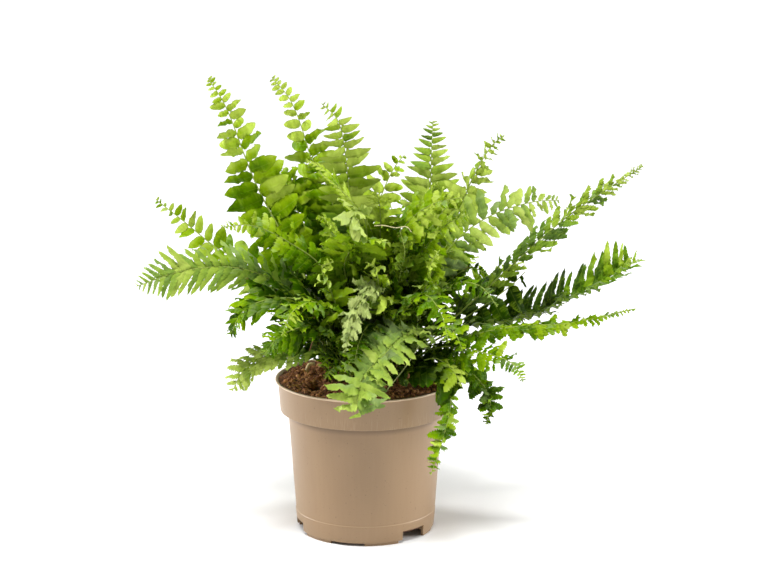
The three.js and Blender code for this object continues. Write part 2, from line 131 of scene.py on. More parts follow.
# Root stock: places and radii of its knobs, and their grain
CROWN_KNOBS = [(0, 0, 6.5), (5, 3, 4.4), (-5, -2, 4.4)]
KNOB_LEVEL = 4
KNOB_SEEDS = 5
KNOB_GRAIN = 5
KNOB_RELIEF = 0.1
KNOB_STRETCH = 2

# Ribs, stipes and leaflets
ROOT_DEPTH = 9 * MM
COLLAR_HEIGHT = 7 * MM
PATH_STEPS = 40
RIB_STATIONS = 72
RIB_SIDES = 6
STRAND_SIDES = 8
BLADE_END = 0.995
STIPE_RADIUS = 0.85 * MM
RIB_TIP_RADIUS = 0.28 * MM
LEAFLET_ROWS = 16
LEAFLET_THICKNESS = 0.15 * MM

# How the last leaflets shrink, how a leaflet's cup grows from midrib to rim, and what disorder does to
# its place, size and bends
TIP_LENGTH = 0.14
TIP_ROUNDING = 0.85
CUP_AT_MIDRIB = 0.4
CUP_TO_RIM = 2.4
STRAY_STEP = 0.22
STRAY_LENGTH = 0.28
STRAY_FOLD = 0.55
STRAY_CURL = 1.3
STRAY_LEAN = 0.15
STRAY_TURN_AT_FOOT = 0.4
STRAY_TURN_TO_TIP = 0.9

# Ripples of a leaflet: radians along its length, shift by its tone, slant across it, and height
RIPPLES = [(13, 40, 6, 6), (29, 90, 0, 3)]

# Painted shade: leaves in the heart of the tuft are painted darker than those round it
TUFT_HEART = (0, -5 * MM, 150 * MM)
HEART_SHADE_FULL = 35 * MM
HEART_SHADE_END = 85 * MM
HEART_PAINTED_SHADE = 0.45

# Share of the light that passes through a leaf
LEAF_GLOW = 0.2

# Colours as seen, 0 to 255: the fronds' from pale to deep and what lies over them, the pot's, the peat's
# from dark to pale, and the root stock's
LEAF_GREENS = [
    (0, (194, 216, 84)), (0.18, (158, 190, 20)), (0.38, (108, 150, 0)), (0.6, (58, 98, 0)),
    (0.86, (18, 44, 0)),
]
MIDRIB_GREEN = (190, 212, 90)
RIM_GREEN = (70, 92, 20)
UNDERSIDE_GREEN = (170, 200, 50)
# The next two lie over the greens: a pale grey-green, partly the fronds' own pallor and partly painted
# sheen, and a painted sheen for faces turned up
PALLOR_AND_SHEEN_GREEN = (202, 208, 160)
SHEEN_GREEN = (186, 206, 140)
DRY_TIP = (132, 96, 46)
STALK_GREEN = (166, 184, 88)
STALK_FOOT = (96, 80, 36)
GLOSS_TINT = (214, 240, 150)
GLOW_GREEN = (170, 205, 10)
POT_DARK = (138, 111, 81)
POT_LIGHT = (152, 125, 94)
POT_SPECK = (96, 76, 56)
# The next two are painted light: a highlight for the lip and the mould line, then shade for under the band
POT_HIGHLIGHT = (214, 190, 160)
POT_BAND_SHADE = (84, 64, 46)
POT_SCRATCH = (206, 182, 152)
PEAT_BROWNS = [
    (0.2, (72, 42, 20)), (0.45, (146, 93, 53)), (0.68, (196, 134, 84)), (0.92, (226, 182, 134)),
]
CROWN_BROWN = (84, 56, 32)

# Strands: a path in millimetres, the radius at its start and end, the colour as seen, and the solid that
# each stands for
STRANDS = {
    "green_runner": dict(
        path=[(11, -42, 101), (15, -46, 108), (22, -50, 118), (29, -54, 129), (36, -56, 142)],
        thick=0.32, thin=0.22, colour=(190, 204, 120), slot="shoot", nodes=["runner"],
    ),
    "pale_stub": dict(
        path=[(-40, 16, 98), (-39, 16, 104), (-37.5, 16, 107.5), (-34, 16, 108)],
        thick=1.5, thin=1.1, colour=(228, 206, 150), slot="cut_root", nodes=["root_stub"],
    ),
    "dry_twig": dict(
        path=[(-37, -45, 157), (-33, -47, 159), (-28, -49, 158), (-23, -50, 158)],
        thick=0.7, thin=0.35, colour=(190, 150, 104), slot="cut_root", nodes=[],
    ),
    "dry_fibre": dict(
        path=[(-31, -48, 158), (-34, -47, 152), (-33, -44, 143), (-36, -42, 132)],
        thick=0.3, thin=0.2, colour=(150, 100, 60), slot="cut_root", nodes=[],
    ),
    "pale_strand": dict(
        path=[(6, -66, 219), (12, -70, 220), (19, -72, 219), (26, -72, 219.5), (29, -71, 216)],
        thick=0.36, thin=0.25, colour=(214, 204, 150), slot="cut_root", nodes=[],
    ),
}

# Camera, which looks at the plant from a little above
CAMERA_PLACE = (0, -1544.7 * MM, 516.9 * MM)
CAMERA_PITCH = 12.91
CAMERA_YAW = 0.51
CAMERA_FOCUS = 2400.5
CAMERA_CLIP = 20
FRAME_WIDTH = 772
SENSOR_WIDTH = 36

# Studio: a wide pale floor, a soft key from above and softboxes at the sides
FLOOR_SIZE = 16
FLOOR_COLOUR = (0.95, 0.95, 0.95, 1)
SKY_STRENGTH = 0.25
KEY_STRENGTH = 3.3
KEY_SPREAD = 20
KEY_PLACE = (-0.12, -0.6, 1.6)
PLANT_MIDDLE = 150 * MM
SOFTBOXES = [
    ("left_softbox", (-1.25, 0.35, 0.35), (0.5, 1.2), 22),
    ("right_softbox", (1.3, 0, 0.35), (0.5, 1.2), 20),
]

# Leaflet shapes: how far the midrib bows forward, how deep the teeth are cut, and the half widths in
# front of the midrib and behind it at shares of the length
LEAFLETS = {
    "falcate": dict(
        bow=0.14, teeth=0.12,
        front=[(0, 0.17), (0.06, 0.26), (0.2, 0.24), (0.5, 0.19), (0.75, 0.14), (0.9, 0.08), (1, 0)],
        back=[(0, 0.1), (0.1, 0.17), (0.35, 0.19), (0.6, 0.16), (0.85, 0.09), (1, 0)],
    ),
    "oblong": dict(
        bow=0.08, teeth=0.07,
        front=[(0, 0.08), (0.1, 0.24), (0.35, 0.27), (0.65, 0.25), (0.88, 0.15), (1, 0)],
        back=[(0, 0.06), (0.15, 0.22), (0.45, 0.26), (0.75, 0.21), (0.9, 0.12), (1, 0)],
    ),
    "sword": dict(
        bow=0.1, teeth=0.05,
        front=[(0, 0.1), (0.06, 0.25), (0.2, 0.22), (0.5, 0.18), (0.8, 0.1), (0.93, 0.05), (1, 0)],
        back=[(0, 0.06), (0.1, 0.17), (0.4, 0.18), (0.7, 0.13), (0.9, 0.06), (1, 0)],
    ),
    "jagged": dict(
        bow=0.1, teeth=0.28,
        front=[(0, 0.14), (0.1, 0.26), (0.4, 0.23), (0.7, 0.2), (0.9, 0.13), (1, 0)],
        back=[(0, 0.08), (0.15, 0.19), (0.5, 0.2), (0.8, 0.15), (0.92, 0.1), (1, 0)],
    ),
    "fringed": dict(
        bow=0.06, teeth=0.42,
        front=[(0, 0.16), (0.1, 0.22), (0.3, 0.2), (0.6, 0.17), (0.85, 0.12), (1, 0)],
        back=[(0, 0.1), (0.15, 0.17), (0.4, 0.17), (0.7, 0.14), (0.9, 0.09), (1, 0)],
    ),
    "ovate": dict(
        bow=0.12, teeth=0.05,
        front=[(0, 0.1), (0.08, 0.25), (0.3, 0.29), (0.6, 0.26), (0.8, 0.18), (0.93, 0.08), (1, 0)],
        back=[(0, 0.08), (0.12, 0.22), (0.4, 0.27), (0.7, 0.22), (0.9, 0.11), (1, 0)],
    ),
    "comb": dict(
        bow=0.1, teeth=0.16,
        front=[(0, 0.2), (0.1, 0.22), (0.3, 0.17), (0.6, 0.13), (0.85, 0.09), (1, 0)],
        back=[(0, 0.14), (0.1, 0.15), (0.3, 0.13), (0.6, 0.1), (0.85, 0.07), (1, 0)],
    ),
}

# What a frond has unless its own lines say otherwise. Width is the longest leaflet in millimetres,
# breadth how broad leaflets are, pairs their count, bare the share of the rib without them, start the
# length of the first ones, swell the share where they are full, and taper the share near the tip where
# they shrink. Crowding above 1 sets them closer towards the tip. Roll turns them about the rib: 0 faces
# up and inward, minus turns a left frond to the front, and twist adds to it on the way. Fold and curl
# are a leaflet's rise and droop, lean is its slant towards the tip and tilt turns it about its midrib,
# all in degrees. Cup lowers its edges, wave ruffles them, and disorder is how much leaflets differ.
# Shade runs from 0, pale, to 1, dark, and is partly a frond's own green and partly painted light and
# shade for where it sits in the tuft. Fade is how much paler the tip is, and the last key lays a pale
# grey-green over all, partly the frond's own pallor and partly painted sheen.
USUAL = dict(
    leaf="falcate", width=16, breadth=0.92, pairs=27, bare=0.18, start=0.5, swell=0.3, taper=0.35,
    crowding=1.4, roll=0, twist=0, fold=18, curl=65, lean=14, tilt=12, cup=0.4, wave=0.055, disorder=0.5,
    shade=0.5, fade=0.35, bleach=0,
)
PLAIN_VALUES = [
    "breadth", "bare", "start", "swell", "taper", "crowding", "cup", "wave", "disorder", "shade",
    "fade", "bleach",
]
ANGLES = ["fold", "curl", "lean", "tilt"]

# Fronds that can be told apart, each from its foot in the peat through its path to its tip, in
# millimetres
FRONDS = {
    "tall_left": dict(
        foot=(-15, 4), path=[(-46, 14, 180), (-72, 16, 231), (-92, 20, 283), (-103, 24, 300)], leaf="ovate",
        width=23, breadth=0.98, pairs=24, taper=0.42, crowding=1.55, roll=-72, fold=10, curl=45, lean=5,
        tilt=22, cup=0.2, wave=0.03, disorder=0.6, shade=0.42, fade=0.4,
    ),
    "tall_mid": dict(
        foot=(-11, 11), path=[(-27, 32, 200), (-38, 38, 251), (-50, 44, 283), (-62, 48, 297)], leaf="ovate",
        width=22, breadth=1.1, pairs=21, taper=0.5, crowding=1.6, roll=-55, fold=10, curl=45, lean=8,
        cup=0.2, wave=0.03, disorder=0.6, fade=0.55,
    ),
    "tall_right": dict(
        foot=(-15, -3), path=[(-10, 8, 205), (-13, 6, 254), (-18, 2, 276), (-28, -2, 287)], leaf="sword",
        width=21, breadth=1.1, pairs=25, taper=0.32, crowding=1.25, roll=-74, curl=35, lean=6, cup=0.2,
        wave=0.025, disorder=0.35, shade=0.16, fade=0.1, bleach=0.06,
    ),
    "mid_up_left": dict(
        foot=(-11, -11), path=[(-6, -26, 200), (-15, -38, 236), (-26, -46, 251), (-37, -52, 258)],
        leaf="jagged", width=13, breadth=1.6, pairs=26, roll=-60, fold=24, lean=40, tilt=0, wave=0.04,
        disorder=0.3, shade=0.36,
    ),
    "top_centre": dict(
        foot=(11, 11), path=[(40, 46, 185), (44, 52, 218), (45, 56, 247), (46, 60, 266)], leaf="sword",
        width=21, breadth=1, pairs=24, taper=0.3, roll=38, curl=40, wave=0.025, disorder=0.35, shade=0.3,
        fade=0.1, bleach=0.12,
    ),
    "top_small": dict(
        foot=(4, 15), path=[(4, 56, 190), (14, 64, 221), (22, 70, 235), (27, 74, 240)], leaf="ovate",
        width=20, breadth=1, pairs=14, roll=26, wave=0.04, disorder=0.6, shade=0.35,
    ),
    "top_right": dict(
        foot=(15, 4), path=[(55, 12, 195), (71, 13, 235), (83, 9, 257), (91, 4, 265)], leaf="sword",
        width=17, breadth=1.3, pairs=22, roll=55, curl=60, wave=0.06, disorder=0.6, shade=0.2, fade=0.2,
        bleach=0.08,
    ),
    "right_mid": dict(
        foot=(15, -4), path=[(54, -16, 193), (79, -20, 215), (108, -24, 226), (125, -28, 228)],
        leaf="oblong", width=19, breadth=0.72, pairs=24, taper=0.2, roll=66, wave=0.04, disorder=0.45,
        shade=0.34, fade=0.1, bleach=0.2,
    ),
    "right_long": dict(
        foot=(21, 2), path=[(64, 8, 146), (95, 8, 175), (134, 6, 211), (182, 2, 245)], leaf="jagged",
        width=12.5, breadth=1.4, pairs=28, bare=0.3, start=1.1, swell=0.4, taper=0.3, crowding=1.6, roll=45,
        twist=20, lean=44, wave=0.11, disorder=0.6, shade=0.6, fade=0.6, bleach=0.1,
    ),
    "right_comb": dict(
        foot=(27, 3), path=[(62, 8, 134), (105, 8, 142), (151, 12, 162), (182, 14, 180)], leaf="comb",
        width=22, breadth=0.95, pairs=24, bare=0.3, start=1, swell=0.6, taper=0.1, crowding=1.1, roll=30,
        fold=50, curl=30, lean=42, tilt=0, wave=0.08, disorder=0.4, shade=1, fade=0.9, bleach=0.03,
    ),
    "right_low": dict(
        foot=(26, -8), path=[(56, -22, 133), (97, -32, 145), (132, -38, 149), (174, -44, 160)],
        leaf="jagged", width=9, breadth=1.8, pairs=38, taper=0.4, roll=15, curl=80, wave=0.12, fade=0.2,
    ),
    "right_droop": dict(
        foot=(21, -16), path=[(49, -34, 132), (79, -52, 132), (95, -60, 127), (101, -64, 117)],
        leaf="jagged", width=15, roll=30, shade=0.7,
    ),
    "right_hang": dict(
        foot=(28, -1), path=[(48, -14, 121), (68, -26, 114), (81, -34, 98), (79, -38, 81)], leaf="jagged",
        width=11, breadth=1.4, pairs=34, taper=0.2, roll=20, disorder=0.8, shade=0.6, fade=0,
    ),
    "right_trail": dict(
        foot=(15, -23), path=[(37, -42, 121), (54, -56, 107), (51, -63, 84), (42, -65, 55)], leaf="fringed",
        width=10.5, breadth=1.9, pairs=30, swell=0.95, taper=0.2, crowding=1, disorder=1, shade=0.42,
        fade=0.1,
    ),
    "front_drop": dict(
        foot=(12, -17), path=[
            (28, -30, 135), (35, -52, 149), (22, -66, 146), (12, -72, 137), (0, -78, 126), (-4, -83, 117),
            (-5, -85, 109), (-3, -86, 100),
        ],
        leaf="comb", width=20, breadth=1.08, pairs=28, taper=0.03, crowding=0.95, curl=24, lean=-3,
        wave=0.08, disorder=0.45, shade=0.2, fade=-0.16, bleach=0.2,
    ),
    "front_dark": dict(
        foot=(5, -21), path=[(6, -44, 146), (2, -58, 153), (-4, -70, 144), (-7, -75, 132)], pairs=20,
        shade=0.75, fade=0.1,
    ),
    "left_low": dict(
        foot=(-24, -14),
        path=[(-30, -24, 131), (-50, -32, 128), (-66, -40, 127), (-79, -46, 119), (-86, -50, 107)],
        leaf="fringed", width=12, breadth=1.85, pairs=19, taper=0.16, crowding=1, roll=-52, curl=60,
        lean=30, cup=0.5, wave=0.09, disorder=0.3, shade=0.06, fade=0.1, bleach=0.16,
    ),
    "left_reach": dict(
        foot=(-26, -6), path=[(-45, -12, 160), (-78, -20, 181), (-115, -26, 182), (-148, -30, 172)],
        leaf="comb", width=20, breadth=1.02, pairs=28, taper=0.2, crowding=1.2, roll=-66, fold=20, lean=32,
        wave=0.06, disorder=0.3, fade=0.3, bleach=0.16,
    ),
    "left_small": dict(
        foot=(-21, 3), path=[(-62, 14, 168), (-98, 18, 187), (-121, 22, 205), (-139, 24, 219)],
        leaf="ovate", width=19, breadth=1, pairs=17, bare=0.3, start=1, swell=0.05, taper=0.6, crowding=1.5,
        roll=-60, curl=30, cup=0.15, wave=0.02, disorder=0.7, shade=0.4,
    ),
    "left_mid": dict(
        foot=(-19, -9), path=[(-26, -18, 178), (-49, -26, 200), (-73, -34, 213), (-92, -40, 213)],
        leaf="jagged", breadth=1.1, roll=-50,
    ),
    "left_down_a": dict(
        foot=(-16, -15), path=[(-32, -34, 158), (-55, -46, 168), (-77, -54, 162), (-86, -58, 147)],
        width=23, breadth=1.25, pairs=25, roll=-25, curl=40, lean=35, shade=0.75, fade=0.2,
    ),
    "left_down_b": dict(
        foot=(-16, -22), path=[(-20, -44, 142), (-36, -58, 152), (-54, -67, 148), (-64, -71, 137)],
        width=21, roll=-15, curl=50, lean=30, shade=0.7, fade=0.2,
    ),
    "front_pale": dict(
        foot=(-3, -15), path=[(3, -46, 166), (3, -66, 181), (-5, -80, 168), (-13, -86, 142)],
        leaf="fringed", width=10.5, breadth=2.5, pairs=34, taper=0.2, crowding=1, roll=-10, fold=20,
        curl=70, lean=36, wave=0.14, disorder=0.9, shade=0.24, bleach=0.5,
    ),
    "centre_face": dict(
        foot=(-7, -14), path=[(-8, -34, 180), (-15, -52, 204), (-21, -62, 219), (-29, -68, 226)],
        leaf="oblong", width=19, pairs=22, roll=-30,
    ),
    "centre_right": dict(
        foot=(11, -11), path=[(28, -28, 180), (42, -44, 205), (54, -54, 219), (65, -60, 225)], width=22,
        pairs=22, roll=40, shade=0.46,
    ),
    "front_left": dict(
        foot=(-9, -26), path=[(-18, -51, 157), (-34, -71, 171), (-46, -83, 167), (-52, -89, 154)], width=17,
        shade=0.55,
    ),
    "front_right": dict(
        foot=(9, -22), path=[(26, -52, 162), (38, -74, 176), (47, -88, 168), (52, -94, 150)], width=17,
        shade=0.7,
    ),
    "right_front": dict(
        foot=(19, -10), path=[(44, -32, 164), (62, -46, 178), (75, -54, 176), (84, -59, 165)], width=13,
        roll=15, shade=0.88,
    ),
    "right_dark": dict(
        foot=(20, -3), path=[(42, -9, 156), (57, -11, 173), (70, -13, 180), (80, -14, 176)], leaf="oblong",
        width=13, roll=20, shade=0.85, fade=0.1,
    ),
    "centre_up": dict(
        foot=(3, -15), path=[(8, -22, 180), (10, -34, 212), (9, -44, 230), (7, -52, 238)], width=20,
        pairs=22, roll=-10, shade=0.3,
    ),
    "centre_tall": dict(
        foot=(15, 0), path=[(28, -3, 190), (35, -8, 214), (42, -14, 230), (47, -19, 238)], width=20,
        pairs=20, roll=50, shade=0.4,
    ),
    "low_right": dict(
        foot=(23, -12), path=[(38, -32, 140), (50, -44, 148), (58, -53, 145), (62, -58, 136)],
        leaf="oblong", width=17, breadth=1.1, pairs=14, roll=10, curl=40, shade=0.7,
    ),
    "low_centre": dict(
        foot=(-2, -24), path=[(-3, -44, 126), (-6, -56, 131), (-10, -64, 130), (-13, -69, 125)], width=12,
        pairs=14, roll=-10,
    ),
}

# Smaller fronds that show in the middle of the tuft, between those above
SMALL_FRONDS = {
    "ribbon": dict(
        foot=(4, -8), path=[(5, -26, 180), (4, -40, 210), (-8, -52, 231), (-19, -58, 244), (-29, -60, 252)],
        leaf="oblong", width=6.5, breadth=2.1, pairs=26, bare=0.3, roll=-60, fold=0, lean=62, wave=0.04,
        disorder=0.25, shade=0.12,
    ),
    "rosette": dict(
        foot=(8, -12), path=[(2, -34, 186), (0, -54, 220), (-5, -66, 229), (-10, -76, 221)], leaf="ovate",
        width=13, breadth=1.7, pairs=4, bare=0.87, start=1, taper=0.1, roll=-20, fold=20, curl=30, lean=30,
        shade=0, bleach=0.25,
    ),
    "fan": dict(
        foot=(-4, -10), path=[(-9, -30, 163), (-13, -50, 192), (-2, -66, 210), (16, -72, 209)], leaf="comb",
        width=24, breadth=1.4, pairs=18, bare=0.4, crowding=1.2, roll=-10, curl=60, disorder=0.3,
    ),
    "arch_right": dict(
        foot=(8, -8), path=[(16, -20, 172), (24, -42, 212), (43, -56, 231), (61, -60, 236)], leaf="oblong",
        width=20, breadth=1, pairs=18, bare=0.35, start=0.8, roll=60, curl=60, shade=0.42,
    ),
    "curl_left": dict(
        foot=(-8, -20), path=[(-13, -40, 145), (-22, -60, 176), (-27, -66, 192), (-20, -70, 197)], width=14,
        pairs=14, bare=0.4, roll=-20, curl=110, disorder=1.2, shade=0.3,
    ),
    "cluster": dict(
        foot=(8, -20), path=[(13, -40, 145), (9, -62, 177), (6, -70, 193), (1, -72, 197)], leaf="jagged",
        width=14, pairs=14, bare=0.45, disorder=1.2, shade=0.15,
    ),
    "right_cluster": dict(
        foot=(14, -16), path=[(23, -30, 143), (38, -50, 174), (42, -60, 194), (47, -60, 202)],
        leaf="oblong", width=14, pairs=16, bare=0.35, roll=20, disorder=1.1, shade=0.3,
    ),
    "low_left": dict(
        foot=(-10, -20), path=[(-13, -28, 116), (-18, -38, 125), (-24, -46, 128), (-29, -52, 124)],
        leaf="jagged", width=11, pairs=14, bare=0.3, roll=-10, shade=0.3,
    ),
    "low_front": dict(
        foot=(-6, -22), path=[(-9, -32, 113), (-14, -42, 121), (-20, -50, 123), (-26, -56, 117)],
        leaf="jagged", width=10, pairs=12, bare=0.3, roll=10,
    ),
    "low_side": dict(
        foot=(-20, -8), path=[(-28, -16, 124), (-38, -24, 136), (-50, -30, 140), (-60, -34, 134)], width=15,
        pairs=16, bare=0.25, roll=-30, shade=0.62,
    ),
    "behind_left": dict(
        foot=(-10, 8), path=[(-26, 16, 170), (-42, 22, 205), (-53, 26, 230), (-63, 30, 245)], leaf="oblong",
        width=22, pairs=20, bare=0.3, roll=-50, shade=0.6,
    ),
    "behind_mid": dict(
        foot=(-4, 10), path=[(-12, 18, 175), (-20, 24, 210), (-28, 26, 234), (-37, 28, 248)], leaf="oblong",
        width=21, pairs=20, bare=0.3, roll=-40, shade=0.6,
    ),
    "behind_right": dict(
        foot=(12, 8), path=[(30, 14, 170), (44, 18, 200), (57, 20, 218), (70, 22, 228)], leaf="oblong",
        width=19, pairs=18, bare=0.3, roll=50,
    ),
    "rim_dark": dict(
        foot=(16, -20), path=[(24, -36, 117), (38, -46, 122), (52, -50, 119), (62, -52, 110)],
        leaf="oblong", width=19, breadth=1.1, pairs=11, bare=0.35, taper=0.15, crowding=1, roll=10, curl=90,
        shade=0.82, fade=0.1,
    ),
    "rim_light": dict(
        foot=(20, -14), path=[(32, -32, 120), (46, -48, 128), (56, -56, 122), (62, -60, 113)],
        leaf="jagged", width=15, breadth=1.4, pairs=4, bare=0.72, start=1, crowding=1, roll=10, shade=0.2,
    ),
    "right_blades": dict(
        foot=(22, 0), path=[(65, 6, 141), (83, 7, 153), (98, 7, 165), (106, 7, 173)], leaf="ovate",
        width=24, breadth=0.85, pairs=4, bare=0.6, start=1, taper=0.3, crowding=1, roll=45, curl=80,
        lean=-12, wave=0.03, shade=1, fade=0,
    ),
    "dark_blades": dict(
        foot=(12, -14), path=[(19, -40, 165), (23, -55, 189), (25, -60, 202), (22, -60, 214)],
        leaf="oblong", width=22, pairs=20, bare=0.2, roll=40, shade=0.85, fade=0.1,
    ),
}

# Fronds at the back, in whorls: azimuth from +X towards +Y, radius of the feet, reach, rise of the
# arch above the peat, and how far it droops again
WHORLS = [
    dict(azimuths=[27, 50, 75, 101, 128, 154], foot=26, reach=118, rise=58, droop=1, width=15, pairs=19),
    dict(azimuths=[21, 72, 108, 146], foot=20, reach=96, rise=82, droop=0.85, width=15, pairs=18),
    dict(azimuths=[94], foot=19, reach=50, rise=84, droop=0.7, width=14, pairs=17),
]
BACK_SHARES = [0.32, 0.6, 0.84, 1]
BACK_CLIMB = 2.1
BACK_SPREAD = 0.16
BACK_ROLL = 24

# Short fronds in the middle of the tuft: ranges of what each draws for itself, and what all have.
# Spread is how far the tip stands out from the foot, sweep how far it turns aside in radians, and
# spacing the rise for each pair of leaflets. They climb at first and then lean out
# Their shade is drawn dark, partly the deeper green of inner fronds and partly painted shade for the middle
# of the tuft
YOUNG_COUNT = 60
YOUNG_RANGES = dict(
    foot=(6, 24), spread=(6, 44), rise=(40, 98), sweep=(-0.5, 0.5), roll=(-50, 50), width=(12, 17),
    spacing=(6, 8), shade=(0.45, 1.05),
)
YOUNG_SHARES = [0.35, 0.6, 0.82, 1]
YOUNG_CLIMB = 1.5
YOUNG_FLARE = 1.5
YOUNG_LEAVES = ["falcate", "jagged", "oblong"]
YOUNG_BARE = 0.1
YOUNG_DISORDER = 1.1
GOLDEN_ANGLE = 137.5

# Seeds: steps between whorls and between fronds, and the first one of the fronds without a solid
WHORL_SEEDS = 31
FROND_SEEDS = 10
SMALL_SEED = 1000


def srgb(red, green, blue):
    """A colour given as seen, 0 to 255, in the renderer's linear light"""
    parts = (value / 255 for value in (red, green, blue))
    return tuple(v / 12.92 if v <= 0.04045 else ((v + 0.055) / 1.055) ** 2.4 for v in parts) + (1,)


def mix(low, high, share):
    return low + (high - low) * share


def draw(seed):
    """A number from 0 to 1 that depends only on the seed"""
    wave = sin(seed * 127.1 + 11.7) * 43758.5453
    return wave - floor(wave)


# Node trees


def arithmetic(operation, swapped=False):
    """The method behind one sign, with the other term first where the wire stands after the sign"""
    def method(wire, other):
        terms = (other, wire) if swapped else (wire, other)
        return wire.graph.sum(operation, *terms)
    return method


class Wire:
    """An output socket that stands in sums, as a number or as a vector"""

    __add__ = arithmetic("ADD")
    __radd__ = arithmetic("ADD", True)
    __sub__ = arithmetic("SUBTRACT")
    __rsub__ = arithmetic("SUBTRACT", True)
    __mul__ = arithmetic("MULTIPLY")
    __rmul__ = arithmetic("MULTIPLY", True)
    __truediv__ = arithmetic("DIVIDE")
    __pow__ = arithmetic("POWER")

    def __init__(self, graph, socket):
        self.graph = graph
        self.socket = socket

    def is_vector(self):
        return self.socket.type == "VECTOR"

    def apply(self, operation, *others):
        return self.graph.sum(operation, self, *others)

    def split(self):
        parts = self.graph.node("ShaderNodeSeparateXYZ", {}, {"Vector": self})
        return [parts[axis] for axis in "XYZ"]


class Outlets:
    """The output sockets of one node, by name"""

    def __init__(self, graph, made):
        self.graph = graph
        self.made = made

    def __getitem__(self, name):
        found = next(s for s in self.made.outputs if s.enabled and s.name == name)
        return Wire(self.graph, found)

    @property
    def first(self):
        return Wire(self.graph, next(s for s in self.made.outputs if s.enabled))


class Graph:
    """A node tree that is built by calls and by arithmetic on its wires"""

    def __init__(self, tree):
        self.tree = tree
        self.tree.nodes.clear()

    def node(self, kind, settings=None, inputs=None):
        """One node: its settings are set first, then the values or wires of its sockets"""
        made = self.tree.nodes.new(kind)
        for name, value in (settings or {}).items():
            if name == "stops":
                self.set_stops(made.color_ramp, value)
            else:
                setattr(made, name, value)
        for name, value in (inputs or {}).items():
            socket = next(s for s in made.inputs if s.enabled and s.name == name)
            self.feed(socket, value)
        return Outlets(self, made)

    def feed(self, socket, value):
        if isinstance(value, Wire):
            self.tree.links.new(value.socket, socket)
        elif isinstance(value, list):
            for wire in value:
                self.tree.links.new(wire.socket, socket)
        elif isinstance(value, (int, float)) and socket.type == "VECTOR":
            socket.default_value = (value, value, value)
        else:
            socket.default_value = value

    @staticmethod
    def set_stops(ramp, stops):
        while len(ramp.elements) < len(stops):
            ramp.elements.new(1)
        for element, (place, colour) in zip(ramp.elements, stops):
            element.position = place
            element.color = srgb(*colour)

    def in_order(self, kind, operation, terms):
        """A node whose sockets are filled in their order, with an operation or none"""
        made = self.tree.nodes.new(kind)
        if operation:
            made.operation = operation
        for socket, term in zip(made.inputs, terms):
            self.feed(socket, term)
        return Outlets(self, made).first

    def sum(self, operation, *terms):
        """A maths node on wires and numbers, by vector maths where any of them is a vector"""
        vector = any(isinstance(t, tuple) or (isinstance(t, Wire) and t.is_vector()) for t in terms)
        kind = "ShaderNodeVectorMath" if vector else "ShaderNodeMath"
        return self.in_order(kind, operation, terms)

    def smooth(self, value, low, high):
        """0 below low and 1 above high, with a soft step between them"""
        sockets = {"Value": value, "From Min": low, "From Max": high}
        return self.node("ShaderNodeMapRange", {"interpolation_type": "SMOOTHSTEP"}, sockets).first

    def blend(self, share, low, high):
        sockets = {"Factor": share, "A": low, "B": high}
        return self.node("ShaderNodeMix", {"data_type": "RGBA"}, sockets).first

    def layered(self, colour, layers):
        """The colour under layers, each with its share and its colour as seen or as a wire"""
        for share, over in layers:
            colour = self.blend(share, colour, over if isinstance(over, Wire) else srgb(*over))
        return colour

    def ramp(self, value, stops):
        return self.node("ShaderNodeValToRGB", {"stops": stops}, {"Fac": value})["Color"]

    def noise(self, place, scale, detail=2, roughness=0.5):
        sockets = {"Vector": place, "Scale": scale, "Detail": detail, "Roughness": roughness}
        return self.node("ShaderNodeTexNoise", {}, sockets)["Fac"]

    def bump(self, height, distance, strength=1):
        sockets = {"Height": height, "Distance": distance, "Strength": strength}
        return self.node("ShaderNodeBump", {}, sockets).first


class Finish(Graph):
    """A material's tree, from the places and the stored values of a piece to its shader"""

    def __init__(self, name):
        self.material = bpy.data.materials.new(name)
        self.material.use_nodes = True
        super().__init__(self.material.node_tree)

    def place(self):
        return self.node("ShaderNodeTexCoord")["Object"]

    def stored(self, name, outlet="Fac"):
        return self.node("ShaderNodeAttribute", {"attribute_name": name})[outlet]

    def principled(self, sockets):
        return self.node("ShaderNodeBsdfPrincipled", {}, sockets).first

    def mixed(self, share, base, other):
        """Two shaders in one, with a share of the second"""
        return self.in_order("ShaderNodeMixShader", None, (share, base, other))

    def close(self, shader):
        self.node("ShaderNodeOutputMaterial", {}, {"Surface": shader})
        return self.material


